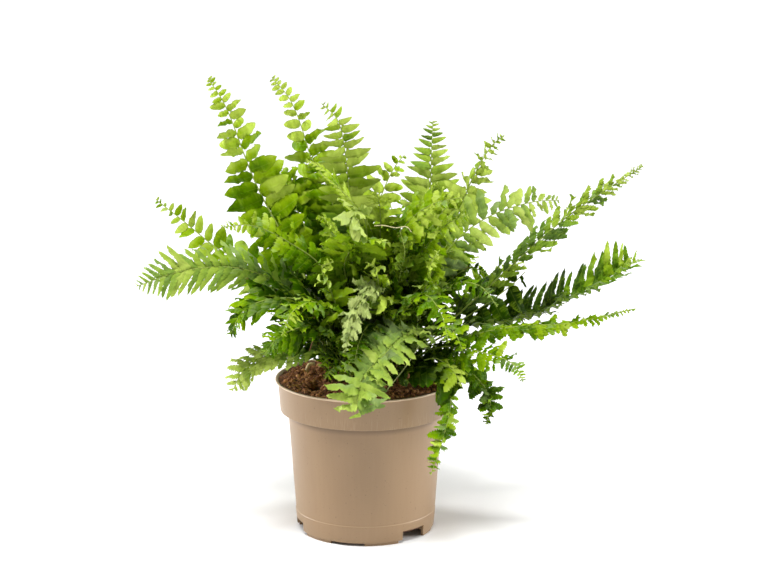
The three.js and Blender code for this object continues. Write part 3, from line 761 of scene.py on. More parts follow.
class Growth(Graph):
    """A geometry tree with named inputs, for what repeats or follows a path"""

    def __init__(self, name, **inputs):
        tree = bpy.data.node_groups.new(name, "GeometryNodeTree")
        super().__init__(tree)
        for label, kind in {"Geometry": "Geometry", **inputs}.items():
            tree.interface.new_socket(label, in_out="INPUT", socket_type="NodeSocket" + kind)
        tree.interface.new_socket("Geometry", in_out="OUTPUT", socket_type="NodeSocketGeometry")
        self.given = self.node("NodeGroupInput")

    def index(self):
        return self.node("GeometryNodeInputIndex").first

    def named(self, name, kind="FLOAT"):
        return self.node("GeometryNodeInputNamedAttribute", {"data_type": kind}, {"Name": name}).first

    def vector(self, name):
        return self.named(name, "FLOAT_VECTOR")

    def store(self, geometry, name, value):
        vector = isinstance(value, Wire) and value.is_vector()
        settings = {"data_type": "FLOAT_VECTOR" if vector else "FLOAT", "domain": "POINT"}
        sockets = {"Geometry": geometry, "Name": name, "Value": value}
        return self.node("GeometryNodeStoreNamedAttribute", settings, sockets).first

    def whim(self, index, seed, low=-1.0, high=1.0):
        """A draw for each point, from low to high"""
        sockets = {"Min": low, "Max": high, "ID": index, "Seed": seed}
        return self.node("FunctionNodeRandomValue", {"data_type": "FLOAT"}, sockets).first

    def copies(self, points, shape, **more):
        """An object's mesh on every point"""
        mesh = self.node("GeometryNodeObjectInfo", {}, {"Object": shape})["Geometry"]
        sockets = {"Points": points, "Instance": mesh, **more}
        return self.node("GeometryNodeInstanceOnPoints", {}, sockets).first

    def realised(self, geometry):
        return self.node("GeometryNodeRealizeInstances", {}, {"Geometry": geometry}).first

    def line(self):
        """The edges of the given mesh as a curve"""
        return self.node("GeometryNodeMeshToCurve", {}, {"Mesh": self.given["Geometry"]}).first

    def way(self):
        """The share of a curve's length at each of its points"""
        return self.node("GeometryNodeSplineParameter")["Factor"]

    def tube(self, line, sides, thick, thin):
        """A tapering stalk along a line, closed at both ends"""
        outline = {"Resolution": sides, "Radius": 1.0}
        ring = self.node("GeometryNodeCurvePrimitiveCircle", {}, outline)["Curve"]
        radius = mix(thick, thin, self.way())
        sockets = {"Curve": line, "Profile Curve": ring, "Scale": radius, "Fill Caps": True}
        return self.node("GeometryNodeCurveToMesh", {}, sockets).first

    def close(self, geometry, material):
        """Ends the tree with real geometry and its material"""
        sockets = {"Geometry": self.realised(geometry), "Material": material}
        done = self.node("GeometryNodeSetMaterial", {}, sockets).first
        self.node("NodeGroupOutput", {}, {"Geometry": done})
        return self.tree


# Meshes and pieces


def placed(name, data, place=(0, 0, 0), turn=(0, 0, 0)):
    made = bpy.data.objects.new(name, data)
    made.location = place
    made.rotation_euler = turn
    bpy.context.scene.collection.objects.link(made)
    return made


def mesh_object(name, vertices, faces=(), edges=()):
    mesh = bpy.data.meshes.new(name)
    mesh.from_pydata([tuple(v) for v in vertices], list(edges), list(faces))
    mesh.update()
    return placed(name, mesh)


def set_vectors(mesh, name, values):
    attribute = mesh.attributes.new(name, "FLOAT_VECTOR", "POINT")
    attribute.data.foreach_set("vector", np.asarray(values, np.float32).ravel())


def settled(made):
    """The object with its modifiers' result as its own plain mesh"""
    bpy.context.view_layer.update()
    graph = bpy.context.evaluated_depsgraph_get()
    mesh = bpy.data.meshes.new_from_object(made.evaluated_get(graph), depsgraph=graph)
    made.modifiers.clear()
    made.data = mesh
    return made


def grown(made, tree, **values):
    """The object as a geometry tree makes it, with the tree's inputs by name"""
    modifier = made.modifiers.new(tree.name, "NODES")
    modifier.node_group = tree
    for item in tree.interface.items_tree:
        if item.in_out == "INPUT" and item.name in values:
            modifier[item.identifier] = values[item.name]
    return settled(made)


def helper(made):
    """Takes a shape that only feeds a tree out of the scene"""
    bpy.context.scene.collection.objects.unlink(made)
    return made


def painted(made, finish):
    made.data.materials.clear()
    made.data.materials.append(finish)
    return made


def smooth_shaded(made, crease):
    made.data.shade_smooth()
    made.data.set_sharp_from_angle(angle=radians(crease))
    return made


def finished(piece, slot, *nodes):
    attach(piece, "root")
    if nodes:
        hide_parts(*nodes)
    return piece


def skinned(name, rings, capped=True):
    """A skin over rings with the same count of points, where a ring of one point is a tip"""
    sides = max(len(ring) for ring in rings)
    vertices = []
    loops = []
    for ring in rings:
        start = len(vertices)
        vertices += ring
        loops.append([start + i if len(ring) > 1 else start for i in range(sides)])
    ends = [(rings[0], loops[0][::-1]), (rings[-1], loops[-1])]
    faces = [loop for ring, loop in ends if capped and len(ring) > 1]
    for low, high in zip(loops, loops[1:]):
        for i in range(sides):
            j = (i + 1) % sides
            faces.append(list(dict.fromkeys([low[i], low[j], high[j], high[i]])))
    return mesh_object(name, vertices, faces)


def circle(radius, height, sides):
    """Points round the vertical axis, or one point on it"""
    if radius == 0:
        return [(0, 0, height)]
    turns = [2 * pi * i / sides for i in range(sides)]
    return [(radius * cos(turn), radius * sin(turn), height) for turn in turns]


def turned(name, profile, sides):
    """A profile of radius and height turned about the vertical axis"""
    return skinned(name, [circle(radius, height, sides) for radius, height in profile], capped=False)


def rounded(profile, radius, steps=4):
    """The profile with its inner corners as small arcs"""
    points = [Vector(p) for p in profile]
    result = [points[0]]
    for before, corner, after in zip(points, points[1:], points[2:]):
        into, out = corner - before, after - corner
        reach = min(radius, into.length / 2, out.length / 2)
        first = corner - into.normalized() * reach
        last = corner + out.normalized() * reach
        for i in range(steps + 1):
            share = i / steps
            result.append(mix(mix(first, corner, share), mix(corner, last, share), share))
    result.append(points[-1])
    return [(max(0, p.x), p.y) for p in result]


def ring_segment(name, inner, outer, angle, width, bottom, top, steps=10):
    """A closed ring segment between two radii, centred on an angle from the front towards +X"""
    corners = [(inner, top), (outer, top), (outer, bottom), (inner, bottom)]
    turns = [radians(angle - 90 + width * (i / steps - 0.5)) for i in range(steps + 1)]
    return skinned(name, [[(r * cos(turn), r * sin(turn), z) for r, z in corners] for turn in turns])


def cut_or_joined(base, other, operation):
    modifier = base.modifiers.new(operation, "BOOLEAN")
    modifier.operation = operation
    modifier.solver = "MANIFOLD"
    modifier.object = other
    settled(base)
    bpy.data.objects.remove(other)
    return base


def line_object(name, points):
    """Points as one line of edges"""
    return mesh_object(name, points, (), [(i, i + 1) for i in range(len(points) - 1)])


# Pot


def body_radius(height):
    """Radius of the body's outer face at a height, on the straight taper from skirt to band"""
    return mix(SKIRT_RADIUS, BODY_TOP_RADIUS, (height - SKIRT_BOTTOM) / (BAND_BOTTOM - SKIRT_BOTTOM))


def pot_shell():
    floor_top = FLOOR_UNDERSIDE + WALL
    lip_bottom = POT_HEIGHT - LIP_DEPTH
    profile = rounded([
        (0, 0),
        (PAD_RADIUS, 0),
        (PAD_RADIUS, FLOOR_UNDERSIDE),
        (SKIRT_RADIUS - WALL, FLOOR_UNDERSIDE),
        (SKIRT_RADIUS - WALL, SKIRT_BOTTOM),
        (SKIRT_RADIUS, SKIRT_BOTTOM),
        (body_radius(MOULD_LINE) + MOULD_LINE_STEP, MOULD_LINE),
        (body_radius(MOULD_LINE), MOULD_LINE + 2 * MOULD_LINE_STEP),
        (BODY_TOP_RADIUS, BAND_BOTTOM + MOULD_LINE_STEP),
        (BAND_BOTTOM_RADIUS, BAND_BOTTOM),
        (BAND_TOP_RADIUS, lip_bottom),
        (LIP_RADIUS, lip_bottom + 2 * MOULD_LINE_STEP),
        (LIP_RADIUS, POT_HEIGHT),
        (LIP_RADIUS - LIP_BEAD, POT_HEIGHT),
        (BAND_TOP_RADIUS - WALL, lip_bottom - LIP_CHAMFER),
        (BAND_BOTTOM_RADIUS - WALL, BAND_BOTTOM + WALL),
        (BODY_TOP_RADIUS - WALL, BAND_BOTTOM),
        (body_radius(floor_top) - WALL, floor_top),
        (0, floor_top),
    ], CORNER_RADIUS)
    return turned("pot_plastic", profile, POT_SIDES)


def drain_plug(turn):
    """What is cut out of the floor for one drain hole"""
    profile = [(0, DRAIN_BOTTOM), (DRAIN_RADIUS, DRAIN_BOTTOM), (DRAIN_RADIUS, DRAIN_TOP), (0, DRAIN_TOP)]
    plug = turned("drain", profile, DRAIN_SIDES)
    place = (DRAIN_CIRCLE * cos(turn), DRAIN_CIRCLE * sin(turn), 0)
    plug.data.transform(Matrix.Translation(place))
    return plug


def make_pot():
    pot = pot_shell()
    outer = SKIRT_RADIUS - FOOT_INSET
    foot_top = FLOOR_UNDERSIDE + WALL / 2
    for i in range(FOOT_COUNT):
        angle = FOOT_FIRST + i * 360 / FOOT_COUNT
        foot = ring_segment("foot", outer - FOOT_WALL, outer, angle, FOOT_WIDTH, 0, foot_top)
        cut_or_joined(pot, foot, "UNION")
    notch_inner = SKIRT_RADIUS - NOTCH_DEPTH
    for i in range(NOTCH_COUNT):
        angle = NOTCH_FIRST + i * 360 / NOTCH_COUNT
        notch = ring_segment("notch", notch_inner, LIP_RADIUS, angle, NOTCH_WIDTH, NOTCH_BOTTOM, NOTCH_TOP)
        cut_or_joined(pot, notch, "DIFFERENCE")
    for i in range(DRAIN_COUNT):
        cut_or_joined(pot, drain_plug(2 * pi * i / DRAIN_COUNT), "DIFFERENCE")
    painted(smooth_shaded(pot, POT_CREASE), pot_finish())
    finished(pot, "pot_plastic", "pot")


# Peat


def finger_distance(x, y):
    """1 on the rim of the finger hole, which is longer from front to back than it is wide"""
    return hypot(x - FINGER_HOLE[0], (y - FINGER_HOLE[1]) / FINGER_STRETCH) / FINGER_RADIUS


def soil_height(x, y):
    """Height of the peat's lumpy top, with the finger hole in it"""
    edge = BAND_TOP_RADIUS - WALL
    mound = mix(SOIL_CROWN, SOIL_EDGE, min(1, (hypot(x, y) / edge) ** 2))
    place = Vector((x, y, 0)) / MM
    lump = sum(weight * noise.noise(place * often) for often, weight in SOIL_LUMPS)
    dent = FINGER_DEPTH / (1 + finger_distance(x, y) ** FINGER_STEEPNESS)
    return mound + SOIL_LUMP * (lump - SOIL_MIDDLE) - dent


def soil_rings(reach):
    """A flat top out to a radius, as a fine grid of rings"""
    return [(reach * (1 - i / SOIL_RINGS), SOIL_EDGE) for i in range(SOIL_RINGS)] + [(0, SOIL_EDGE)]


def lumped(made):
    """The shape with its flat top raised and sunk to the peat's height"""
    for vertex in made.data.vertices:
        if vertex.co.z > SOIL_EDGE - CLEARANCE:
            vertex.co.z = soil_height(vertex.co.x, vertex.co.y)
    return made


def peat_body():
    """The peat down to the pot's floor"""
    floor_top = FLOOR_UNDERSIDE + WALL
    inset = WALL + CLEARANCE
    edge = BAND_TOP_RADIUS - inset - CLEARANCE
    profile = [
        (0, floor_top + CLEARANCE),
        (body_radius(floor_top) - inset, floor_top + CLEARANCE),
        (BODY_TOP_RADIUS - inset, BAND_BOTTOM + CLEARANCE),
        (BAND_BOTTOM_RADIUS - inset, BAND_BOTTOM + WALL + CLEARANCE),
        (edge, SOIL_EDGE - 2 * SOIL_FLARE),
    ]
    return lumped(turned("peat", profile + soil_rings(edge + SOIL_FLARE), SOIL_SIDES))


def peat_top(name):
    """The part of the peat's top that crumbs lie on, as a sheet"""
    made = lumped(turned(name, soil_rings(BAND_TOP_RADIUS - WALL - SCATTER_MARGIN), SOIL_SIDES))
    shape = bmesh.new()
    shape.from_mesh(made.data)
    sunk = [v for v in shape.verts if finger_distance(v.co.x, v.co.y) < SCATTER_HOLE]
    bmesh.ops.delete(shape, geom=sunk, context="VERTS")
    shape.to_mesh(made.data)
    shape.free()
    return made


def crumb_shape(name, level, seed):
    """A lump of peat, as an irregular stone-like ball of about one unit"""
    tree = Growth("ball")
    ball = tree.node("GeometryNodeMeshIcoSphere", {}, {"Radius": 1.0, "Subdivisions": level})["Mesh"]
    tree.node("NodeGroupOutput", {}, {"Geometry": ball})
    made = grown(mesh_object(name, [(0, 0, 0)]), tree.tree)
    for vertex in made.data.vertices:
        lump = noise.noise(vertex.co * CRUMB_LUMPS + Vector((seed, 0, 0)))
        vertex.co *= 1 + CRUMB_RELIEF * lump
        vertex.co.z *= CRUMB_FLATNESS
    return made


def fibre_shape(name):
    """A root fibre of unit length, bent and closed at its ends"""
    turns = [2 * pi * k / FIBRE_SIDES for k in range(FIBRE_SIDES)]
    rings = []
    for i in range(FIBRE_STEPS + 1):
        share = i / FIBRE_STEPS
        side = FIBRE_BEND * sin(pi * share)
        ring = [(share - 0.5, side + FIBRE_RADIUS * cos(t), FIBRE_RADIUS * sin(t)) for t in turns]
        rings.append(ring)
    return skinned(name, rings)


def scatter_tree():
    """Copies of a shape laid on a surface, each turned and sized by a draw, with its own tone"""
    graph = Growth(
        "scatter", Shape="Object", Density="Float", Smallest="Float", Largest="Float",
        Tilt="Float", Seed="Int", Material="Material",
    )
    given = graph.given
    seed = given["Seed"]
    index = graph.index()
    sockets = {"Mesh": given["Geometry"], "Density": given["Density"], "Seed": seed}
    spread = graph.node("GeometryNodeDistributePointsOnFaces", {}, sockets)
    points = graph.store(spread["Points"], "tone", graph.whim(index, seed + 1, 0.0))
    size = mix(given["Smallest"], given["Largest"], graph.whim(index, seed + 2, 0.0) ** 2)
    turns = {
        "X": graph.whim(index, seed + 3) * given["Tilt"],
        "Y": graph.whim(index, seed + 4) * given["Tilt"],
        "Z": graph.whim(index, seed + 5) * pi,
    }
    euler = graph.node("ShaderNodeCombineXYZ", {}, turns).first
    rotation = graph.node("FunctionNodeEulerToRotation", {}, {"Euler": euler}).first
    copies = graph.copies(points, given["Shape"], Rotation=rotation, Scale=size)
    return graph.close(copies, given["Material"])


def make_peat():
    finish = peat_finish()
    body = smooth_shaded(peat_body(), PEAT_CREASE)
    finished(painted(body, finish), "peat", "soil")
    tree = scatter_tree()
    crumb = crumb_shape("crumb", CRUMB_LEVEL, 3)
    grit = crumb_shape("grit", GRIT_LEVEL, 8)
    shapes = [crumb, grit, fibre_shape("fibre")]
    for seed, (shape, row) in enumerate(zip(shapes, SCATTERED), 1):
        name, density, smallest, largest, tilt = row
        piece = grown(
            peat_top(name), tree, Shape=helper(shape), Density=float(density), Smallest=smallest * MM,
            Largest=largest * MM, Tilt=tilt, Seed=seed, Material=finish,
        )
        finished(piece, "peat")


# Fronds


def half_width(points, share, teeth, row):
    """Half the leaflet's width at a share of its length, with every other row cut back for a tooth"""
    width = float(np.interp(share, *zip(*points)))
    return width * (1 - teeth * (row % 2))


def leaflet_shape(name, form):
    """A leaflet of unit length along X with its tip forward along Y, thin towards its sharp rim"""
    rings = []
    for row in range(LEAFLET_ROWS):
        share = row / LEAFLET_ROWS
        middle = form["bow"] * share ** 2
        front, back = (half_width(form[edge], share, form["teeth"], row) for edge in ("front", "back"))
        section = [(-back, 0), (0, 1), (front, 0), (0, -1)]
        rings.append([(share, middle + across, lift) for across, lift in section])
    rings.append([(1, form["bow"], 0)])
    made = skinned(name, rings)
    mesh = made.data
    mesh.shade_smooth()
    sharp = mesh.attributes.new("sharp_edge", "BOOLEAN", "EDGE")
    for edge in mesh.edges:
        sharp.data[edge.index].value = all(mesh.vertices[end].co.z == 0 for end in edge.vertices)
    set_vectors(mesh, "leaf", [vertex.co for vertex in mesh.vertices])
    return helper(made)


def frond_tree():
    """A rib as a tapering stalk, with leaflets in turn on its two sides, each bent and waved"""
    numbers = [name.capitalize() for name in [*PLAIN_VALUES, *ANGLES, "width"]]
    graph = Growth(
        "frond", Leaflet="Object", Pairs="Int", **dict.fromkeys(numbers, "Float"),
        Seed="Int", Material="Material",
    )
    given = graph.given
    rib = graph.line()
    marked = graph.store(graph.store(rib, "share", graph.way()), "rib", 1.0)
    stalk = graph.tube(marked, RIB_SIDES, STIPE_RADIUS, RIB_TIP_RADIUS)
    leaflets = leaflets_on(graph, leaflet_points(graph, rib))
    joined = graph.node("GeometryNodeJoinGeometry", {}, {"Geometry": [stalk, leaflets]}).first
    # Shade is partly the frond's own green and partly painted light and shade; the pale grey-green over it
    # is partly its own pallor and partly painted sheen
    shade = given["Shade"] - given["Fade"] * graph.named("share") ** 2
    shaded = graph.store(joined, "shade", shade)
    return graph.close(graph.store(shaded, "bleach", given["Bleach"]), given["Material"])


def leaflet_points(graph, rib):
    """A point for each leaflet, with its place on the rib, its directions, its length and its draws"""
    given = graph.given
    seed = given["Seed"]
    index = graph.index()
    right = index.apply("MODULO", 2)
    pair = (index * 0.5).apply("FLOOR")
    hand = 1 - right * 2
    disorder = given["Disorder"]
    stray = disorder * graph.whim(index, seed)
    step = (pair + 0.25 + right * 0.5 + stray * STRAY_STEP) / given["Pairs"]
    share = 1 - (1 - step).apply("MAXIMUM", 0.001) ** given["Crowding"]
    on_rib = graph.node(
        "GeometryNodeSampleCurve", {"mode": "FACTOR", "data_type": "FLOAT_VECTOR"},
        {"Curves": rib, "Value": graph.vector("side"), "Factor": mix(given["Bare"], BLADE_END, share)},
    )
    tangent = on_rib["Tangent"]
    side = on_rib["Value"].apply("NORMALIZE")
    swell = mix(given["Start"], 1, (share / given["Swell"]).apply("MINIMUM", 1))
    from_tip = ((1 - share) / given["Taper"]).apply("MINIMUM", 1)
    narrowing = mix(TIP_LENGTH, 1, from_tip ** TIP_ROUNDING)
    change = 1 + disorder * STRAY_LENGTH * graph.whim(index, seed + 1)
    loose = disorder * (1 + share ** 3)
    points = graph.node("GeometryNodePoints", {}, {"Count": given["Pairs"] * 2}).first
    for name, value in {
        "root": on_rib["Position"],
        "along": tangent,
        "outward": side * hand,
        "upward": tangent.apply("CROSS_PRODUCT", side),
        "length": given["Width"] * swell * narrowing * change,
        "hand": hand,
        "share": share,
        "tone": graph.whim(index, seed + 2, 0.0),
        "stray_fold": loose * graph.whim(index, seed + 3),
        "stray_turn": loose * graph.whim(index, seed + 4),
        "stray_curl": loose * graph.whim(index, seed + 5),
    }.items():
        points = graph.store(points, name, value)
    return points


def leaflets_on(graph, points):
    """The leaflet on every point, bent to its place, with the mirrored ones turned right side out"""
    real = graph.realised(graph.copies(points, graph.given["Leaflet"]))
    sockets = {"Geometry": real, "Position": leaflet_place(graph)}
    bent = graph.node("GeometryNodeSetPosition", {}, sockets).first
    mirrored = graph.named("hand").apply("LESS_THAN", 0)
    done = graph.node("GeometryNodeFlipFaces", {}, {"Mesh": bent, "Selection": mirrored}).first
    for name in ("root", "along", "outward", "upward", "length", "hand"):
        done = graph.node("GeometryNodeRemoveAttribute", {}, {"Geometry": done, "Name": name}).first
    return done


def turned_between(first, second, angle):
    """The direction at an angle from the first towards the second"""
    return first * angle.apply("COSINE") + second * angle.apply("SINE")


def leaflet_place(graph):
    """Where a leaflet's point goes: out along the bent midrib, across it, and up or down its waved rim"""
    given = graph.given
    share, across, lift = graph.vector("leaf").split()
    along, outward, upward = (graph.vector(name) for name in ("along", "outward", "upward"))
    length = graph.named("length")
    tone = graph.named("tone")
    fold = given["Fold"] + graph.named("stray_fold") * STRAY_FOLD
    curl = given["Curl"] * (1 + graph.named("stray_curl") * STRAY_CURL)
    chord = fold - curl * share * 0.5
    slope = fold - curl * share
    lean = given["Lean"] + graph.named("stray_curl") * STRAY_LEAN
    out = turned_between(outward, along, lean)
    reach = length * share * chord.apply("COSINE")
    rise = length * share * chord.apply("SINE")
    normal = upward * slope.apply("COSINE") - outward * slope.apply("SINE")
    turn = given["Tilt"] + graph.named("stray_turn") * (STRAY_TURN_AT_FOOT + share * STRAY_TURN_TO_TIP)
    flat = turned_between(along, normal, turn)
    face = normal * turn.apply("COSINE") - along * turn.apply("SINE")
    slow, quick = (
        (share * turns + tone * shift + across * slant).apply("SINE") * height
        for turns, shift, slant, height in RIPPLES
    )
    wave = given["Wave"] * (slow + quick)
    from_midrib = across.apply("ABSOLUTE")
    sag = given["Cup"] * (CUP_AT_MIDRIB + from_midrib * CUP_TO_RIM)
    relief = length * from_midrib * (wave - sag) + lift * LEAFLET_THICKNESS
    width = across * length * given["Breadth"]
    place = graph.vector("root") + out * reach + upward * rise
    return place + flat * width + face * relief


def path_points(path):
    """Points close together on a smooth path: a centripetal Catmull-Rom curve, at even steps"""
    points = [Vector(p) for p in path]
    points = [points[0] * 2 - points[1], *points, points[-1] * 2 - points[-2]]
    dense = []
    for p0, p1, p2, p3 in zip(points, points[1:], points[2:], points[3:]):
        d1, d2, d3 = (sqrt((b - a).length) for a, b in ((p0, p1), (p1, p2), (p2, p3)))
        start = ((p1 - p0) / d1 - (p2 - p0) / (d1 + d2) + (p2 - p1) / d2) * d2
        end = ((p2 - p1) / d2 - (p3 - p1) / (d2 + d3) + (p3 - p2) / d3) * d2
        for i in range(PATH_STEPS):
            t = i / PATH_STEPS
            dense.append(
                p1 * (2 * t ** 3 - 3 * t ** 2 + 1) + start * (t ** 3 - 2 * t ** 2 + t)
                + p2 * (3 * t ** 2 - 2 * t ** 3) + end * (t ** 3 - t ** 2)
            )
    dense.append(points[-2])
    dense = np.array(dense)
    lengths = np.concatenate([[0], np.cumsum(np.linalg.norm(np.diff(dense, axis=0), axis=1))])
    steps = np.linspace(0, lengths[-1], RIB_STATIONS)
    return np.stack([np.interp(steps, lengths, dense[:, axis]) for axis in range(3)], axis=1)


def rib_object(name, frond):
    """The frond's rib as a line, with the direction to its left side at each point"""
    x, y = frond["foot"]
    crown = SOIL_CROWN / MM
    path = [(x, y, crown - ROOT_DEPTH / MM), (x, y, crown + COLLAR_HEIGHT / MM), *frond["path"]]
    points = path_points(path) * MM
    tangents = np.gradient(points, axis=0)
    tangents /= np.linalg.norm(tangents, axis=1)[:, None]
    tip = frond["path"][-1]
    heading = Vector((tip[0] - x, tip[1] - y, 0))
    level = np.array(Vector((0, 0, 1)).cross(heading).normalized())
    sides = []
    for i, along in enumerate(tangents):
        side = level - along * float(level @ along)
        side /= np.linalg.norm(side)
        turn = radians(frond["roll"] + frond["twist"] * i / (RIB_STATIONS - 1))
        sides.append(side * cos(turn) + np.cross(along, side) * sin(turn))
    made = line_object(name, points)
    set_vectors(made.data, "side", sides)
    return made


def arched(turn, foot, path, **own):
    """A frond at an azimuth, from its foot's radius and its path's added turns, radii and heights"""
    points = [
        (cos(turn + sweep) * radius, sin(turn + sweep) * radius, SOIL_CROWN / MM + height)
        for sweep, radius, height in path
    ]
    return dict(foot=(foot * cos(turn), foot * sin(turn)), path=points, **own)


def back_fronds():
    """The fronds of each whorl, on arches that rise and droop, with a small draw of their own"""
    fronds = {}
    for number, whorl in enumerate(WHORLS):
        foot = whorl["foot"]
        for order, azimuth in enumerate(whorl["azimuths"]):
            seed = WHORL_SEEDS * number + order
            far = whorl["reach"] * (1 + BACK_SPREAD * (draw(seed) - 0.5))
            high = whorl["rise"] * (1 + BACK_SPREAD * (draw(seed + 0.5) - 0.5))
            path = [
                (0, mix(foot, far, share), high * (BACK_CLIMB * share - whorl["droop"] * share ** 2))
                for share in BACK_SHARES
            ]
            fronds[f"back_{number + 1}_{order + 1}"] = arched(
                radians(azimuth), foot, path, roll=BACK_ROLL * (draw(seed + 0.25) - 0.5),
                width=whorl["width"], pairs=whorl["pairs"],
            )
    return fronds


def young_fronds():
    """Short fronds that fill the middle of the tuft, leaning out all round on draws of their own"""
    fronds = {}
    for order in range(YOUNG_COUNT):
        drawn = {
            name: mix(low, high, draw(order + place / 10))
            for place, (name, (low, high)) in enumerate(YOUNG_RANGES.items(), 1)
        }
        foot, rise = drawn["foot"], drawn["rise"]
        far = foot + drawn["spread"]
        path = [
            (
                drawn["sweep"] * share,
                mix(foot, far, share ** YOUNG_FLARE),
                rise * (YOUNG_CLIMB * share - (YOUNG_CLIMB - 1) * share ** 3),
            )
            for share in YOUNG_SHARES
        ]
        fronds[f"young_{order + 1}"] = arched(
            radians(order * GOLDEN_ANGLE), foot, path, leaf=YOUNG_LEAVES[order % len(YOUNG_LEAVES)],
            width=drawn["width"], pairs=int(rise / drawn["spacing"]), bare=YOUNG_BARE,
            roll=drawn["roll"], disorder=YOUNG_DISORDER, shade=drawn["shade"],
        )
    return fronds


def make_frond(name, own, seed, tree, leaflets, finish):
    frond = {**USUAL, **own}
    values = {key.capitalize(): float(frond[key]) for key in PLAIN_VALUES}
    angles = {key.capitalize(): radians(frond[key]) for key in ANGLES}
    return grown(
        rib_object(name, frond), tree, **values, **angles, Leaflet=leaflets[frond["leaf"]],
        Pairs=frond["pairs"], Width=frond["width"] * MM, Seed=seed, Material=finish,
    )


def make_fronds():
    """The fronds that stand for a solid, and then those that the scene adds"""
    finish = leaf_finish()
    tree = frond_tree()
    leaflets = {name: leaflet_shape("leaflet_" + name, form) for name, form in LEAFLETS.items()}
    for order, (name, own) in enumerate({**FRONDS, **back_fronds()}.items()):
        piece = make_frond("fern_" + name, own, order * FROND_SEEDS, tree, leaflets, finish)
        finished(piece, "frond", "frond_" + name)
    for order, (name, own) in enumerate({**SMALL_FRONDS, **young_fronds()}.items()):
        seed = SMALL_SEED + order * FROND_SEEDS
        piece = make_frond("fern_" + name, own, seed, tree, leaflets, finish)
        finished(piece, "frond")


# Root stock and loose strands


def make_strands():
    graph = Growth("strand", Thick="Float", Thin="Float", Material="Material")
    given = graph.given
    tube = graph.tube(graph.line(), STRAND_SIDES, given["Thick"], given["Thin"])
    tree = graph.close(tube, given["Material"])
    for name, strand in STRANDS.items():
        line = line_object(name, path_points(strand["path"]) * MM)
        finish = dry_finish(name + "_bark", srgb(*strand["colour"]))
        grown(line, tree, Thick=strand["thick"] * MM, Thin=strand["thin"] * MM, Material=finish)
        finished(smooth_shaded(line, STRAND_CREASE), strand["slot"], *strand["nodes"])


def make_crown():
    """The knobs of the root stock, as one lumpy body half sunk in the peat"""
    crown = None
    for number, (x, y, radius) in enumerate(CROWN_KNOBS):
        knob = crumb_shape(f"knob_{number}", KNOB_LEVEL, number * KNOB_SEEDS)
        for vertex in knob.data.vertices:
            scale = noise.noise(vertex.co * KNOB_GRAIN) * KNOB_RELIEF + 1
            vertex.co = Vector((
                x * MM + vertex.co.x * radius * MM * scale,
                y * MM + vertex.co.y * radius * MM * scale,
                SOIL_CROWN + vertex.co.z * KNOB_STRETCH * radius * MM * scale,
            ))
        crown = cut_or_joined(crown, knob, "UNION") if crown else knob
    crown.name = "crown_knobs"
    painted(crown, dry_finish("crown_bark", srgb(*CROWN_BROWN)))
    finished(smooth_shaded(crown, PEAT_CREASE), "root_stock", "crown")


# Finishes


def leaf_finish():
    """A green that varies from leaflet to leaflet and within each, with veins, painted shade in the heart
    of the tuft, painted sheen, and light through it
    """
    graph = Finish("fern_leaf")
    place = graph.place()
    length, across, side = graph.stored("leaf", "Vector").split()
    tone = graph.stored("tone")
    rib = graph.stored("rib")
    leaf = 1 - rib
    patch = graph.noise(place, 55, 3)
    from_midrib = across.apply("ABSOLUTE")
    depth = graph.stored("shade") + (tone - 0.5) * 0.45 + (patch - 0.5) * 0.85
    depth = depth - graph.smooth(from_midrib, 0.04, 0.2) * 0.1 - length * 0.08
    # Painted shade, darker towards the heart of the tuft
    from_heart = (place - TUFT_HEART).apply("LENGTH")
    depth = depth + (1 - graph.smooth(from_heart, HEART_SHADE_FULL, HEART_SHADE_END)) * HEART_PAINTED_SHADE
    midrib = 1 - graph.smooth(from_midrib, 0.004, 0.02)
    rim = 1 - graph.smooth(side.apply("ABSOLUTE"), 0.02, 0.2)
    under = side.apply("LESS_THAN", -0.002)
    upward = graph.node("ShaderNodeNewGeometry")["Normal"].split()[2]
    # Painted sheen on faces turned up, left off the deep greens
    lit = graph.smooth(upward, 0.3, 0.95) * (1 - graph.smooth(depth, 0.5, 0.85))
    painted_sheen = lit * graph.smooth(patch, 0.46, 0.6)
    dry = graph.smooth(tone, 0.96, 0.98) * graph.smooth(length + patch * 0.4, 1.08, 1.2)
    foot = 1 - graph.smooth(graph.stored("share"), 0.12, 0.34)
    # Over the greens lie a pale grey-green, partly the frond's own pallor and partly painted sheen, and
    # painted sheen on faces turned up
    colour = graph.layered(graph.ramp(depth, LEAF_GREENS), [
        (midrib * 0.16 * leaf, MIDRIB_GREEN),
        (rim * 0.45 * leaf, RIM_GREEN),
        (under * 0.25, UNDERSIDE_GREEN),
        (graph.stored("bleach"), PALLOR_AND_SHEEN_GREEN),
        (painted_sheen * 0.4, SHEEN_GREEN),
        (dry, DRY_TIP),
        (rib, graph.blend(foot, srgb(*STALK_GREEN), srgb(*STALK_FOOT))),
    ])
    veins = (length * 74 - from_midrib * 90).apply("SINE")
    crumple = graph.noise(place, 260, 2)
    relief = veins * 0.5 * leaf + midrib * 1.5 + crumple * 6
    blade = graph.principled({
        "Base Color": colour,
        "Roughness": 0.27 + (patch - 0.5) * 0.2 + rib * 0.1,
        "Normal": graph.bump(relief, 0.00012, 0.6),
        "Specular IOR Level": 0.12,
        "Specular Tint": srgb(*GLOSS_TINT),
    })
    glow = graph.node("ShaderNodeBsdfTranslucent", {}, {"Color": srgb(*GLOW_GREEN)}).first
    return graph.close(graph.mixed(LEAF_GLOW, blade, glow))


def dry_finish(name, colour):
    """Dry bark or root in one colour, with darker streaks and a rough surface"""
    graph = Finish(name)
    grain = graph.noise(graph.place() * (1, 1, 0.3), 700, 3)
    dark = tuple(part * 0.6 for part in colour[:3]) + (1,)
    shader = graph.principled({
        "Base Color": graph.blend(graph.smooth(grain, 0.35, 0.6), dark, colour),
        "Roughness": 0.75 - grain * 0.2,
        "Normal": graph.bump(grain, 0.0003, 0.7),
    })
    return graph.close(shader)


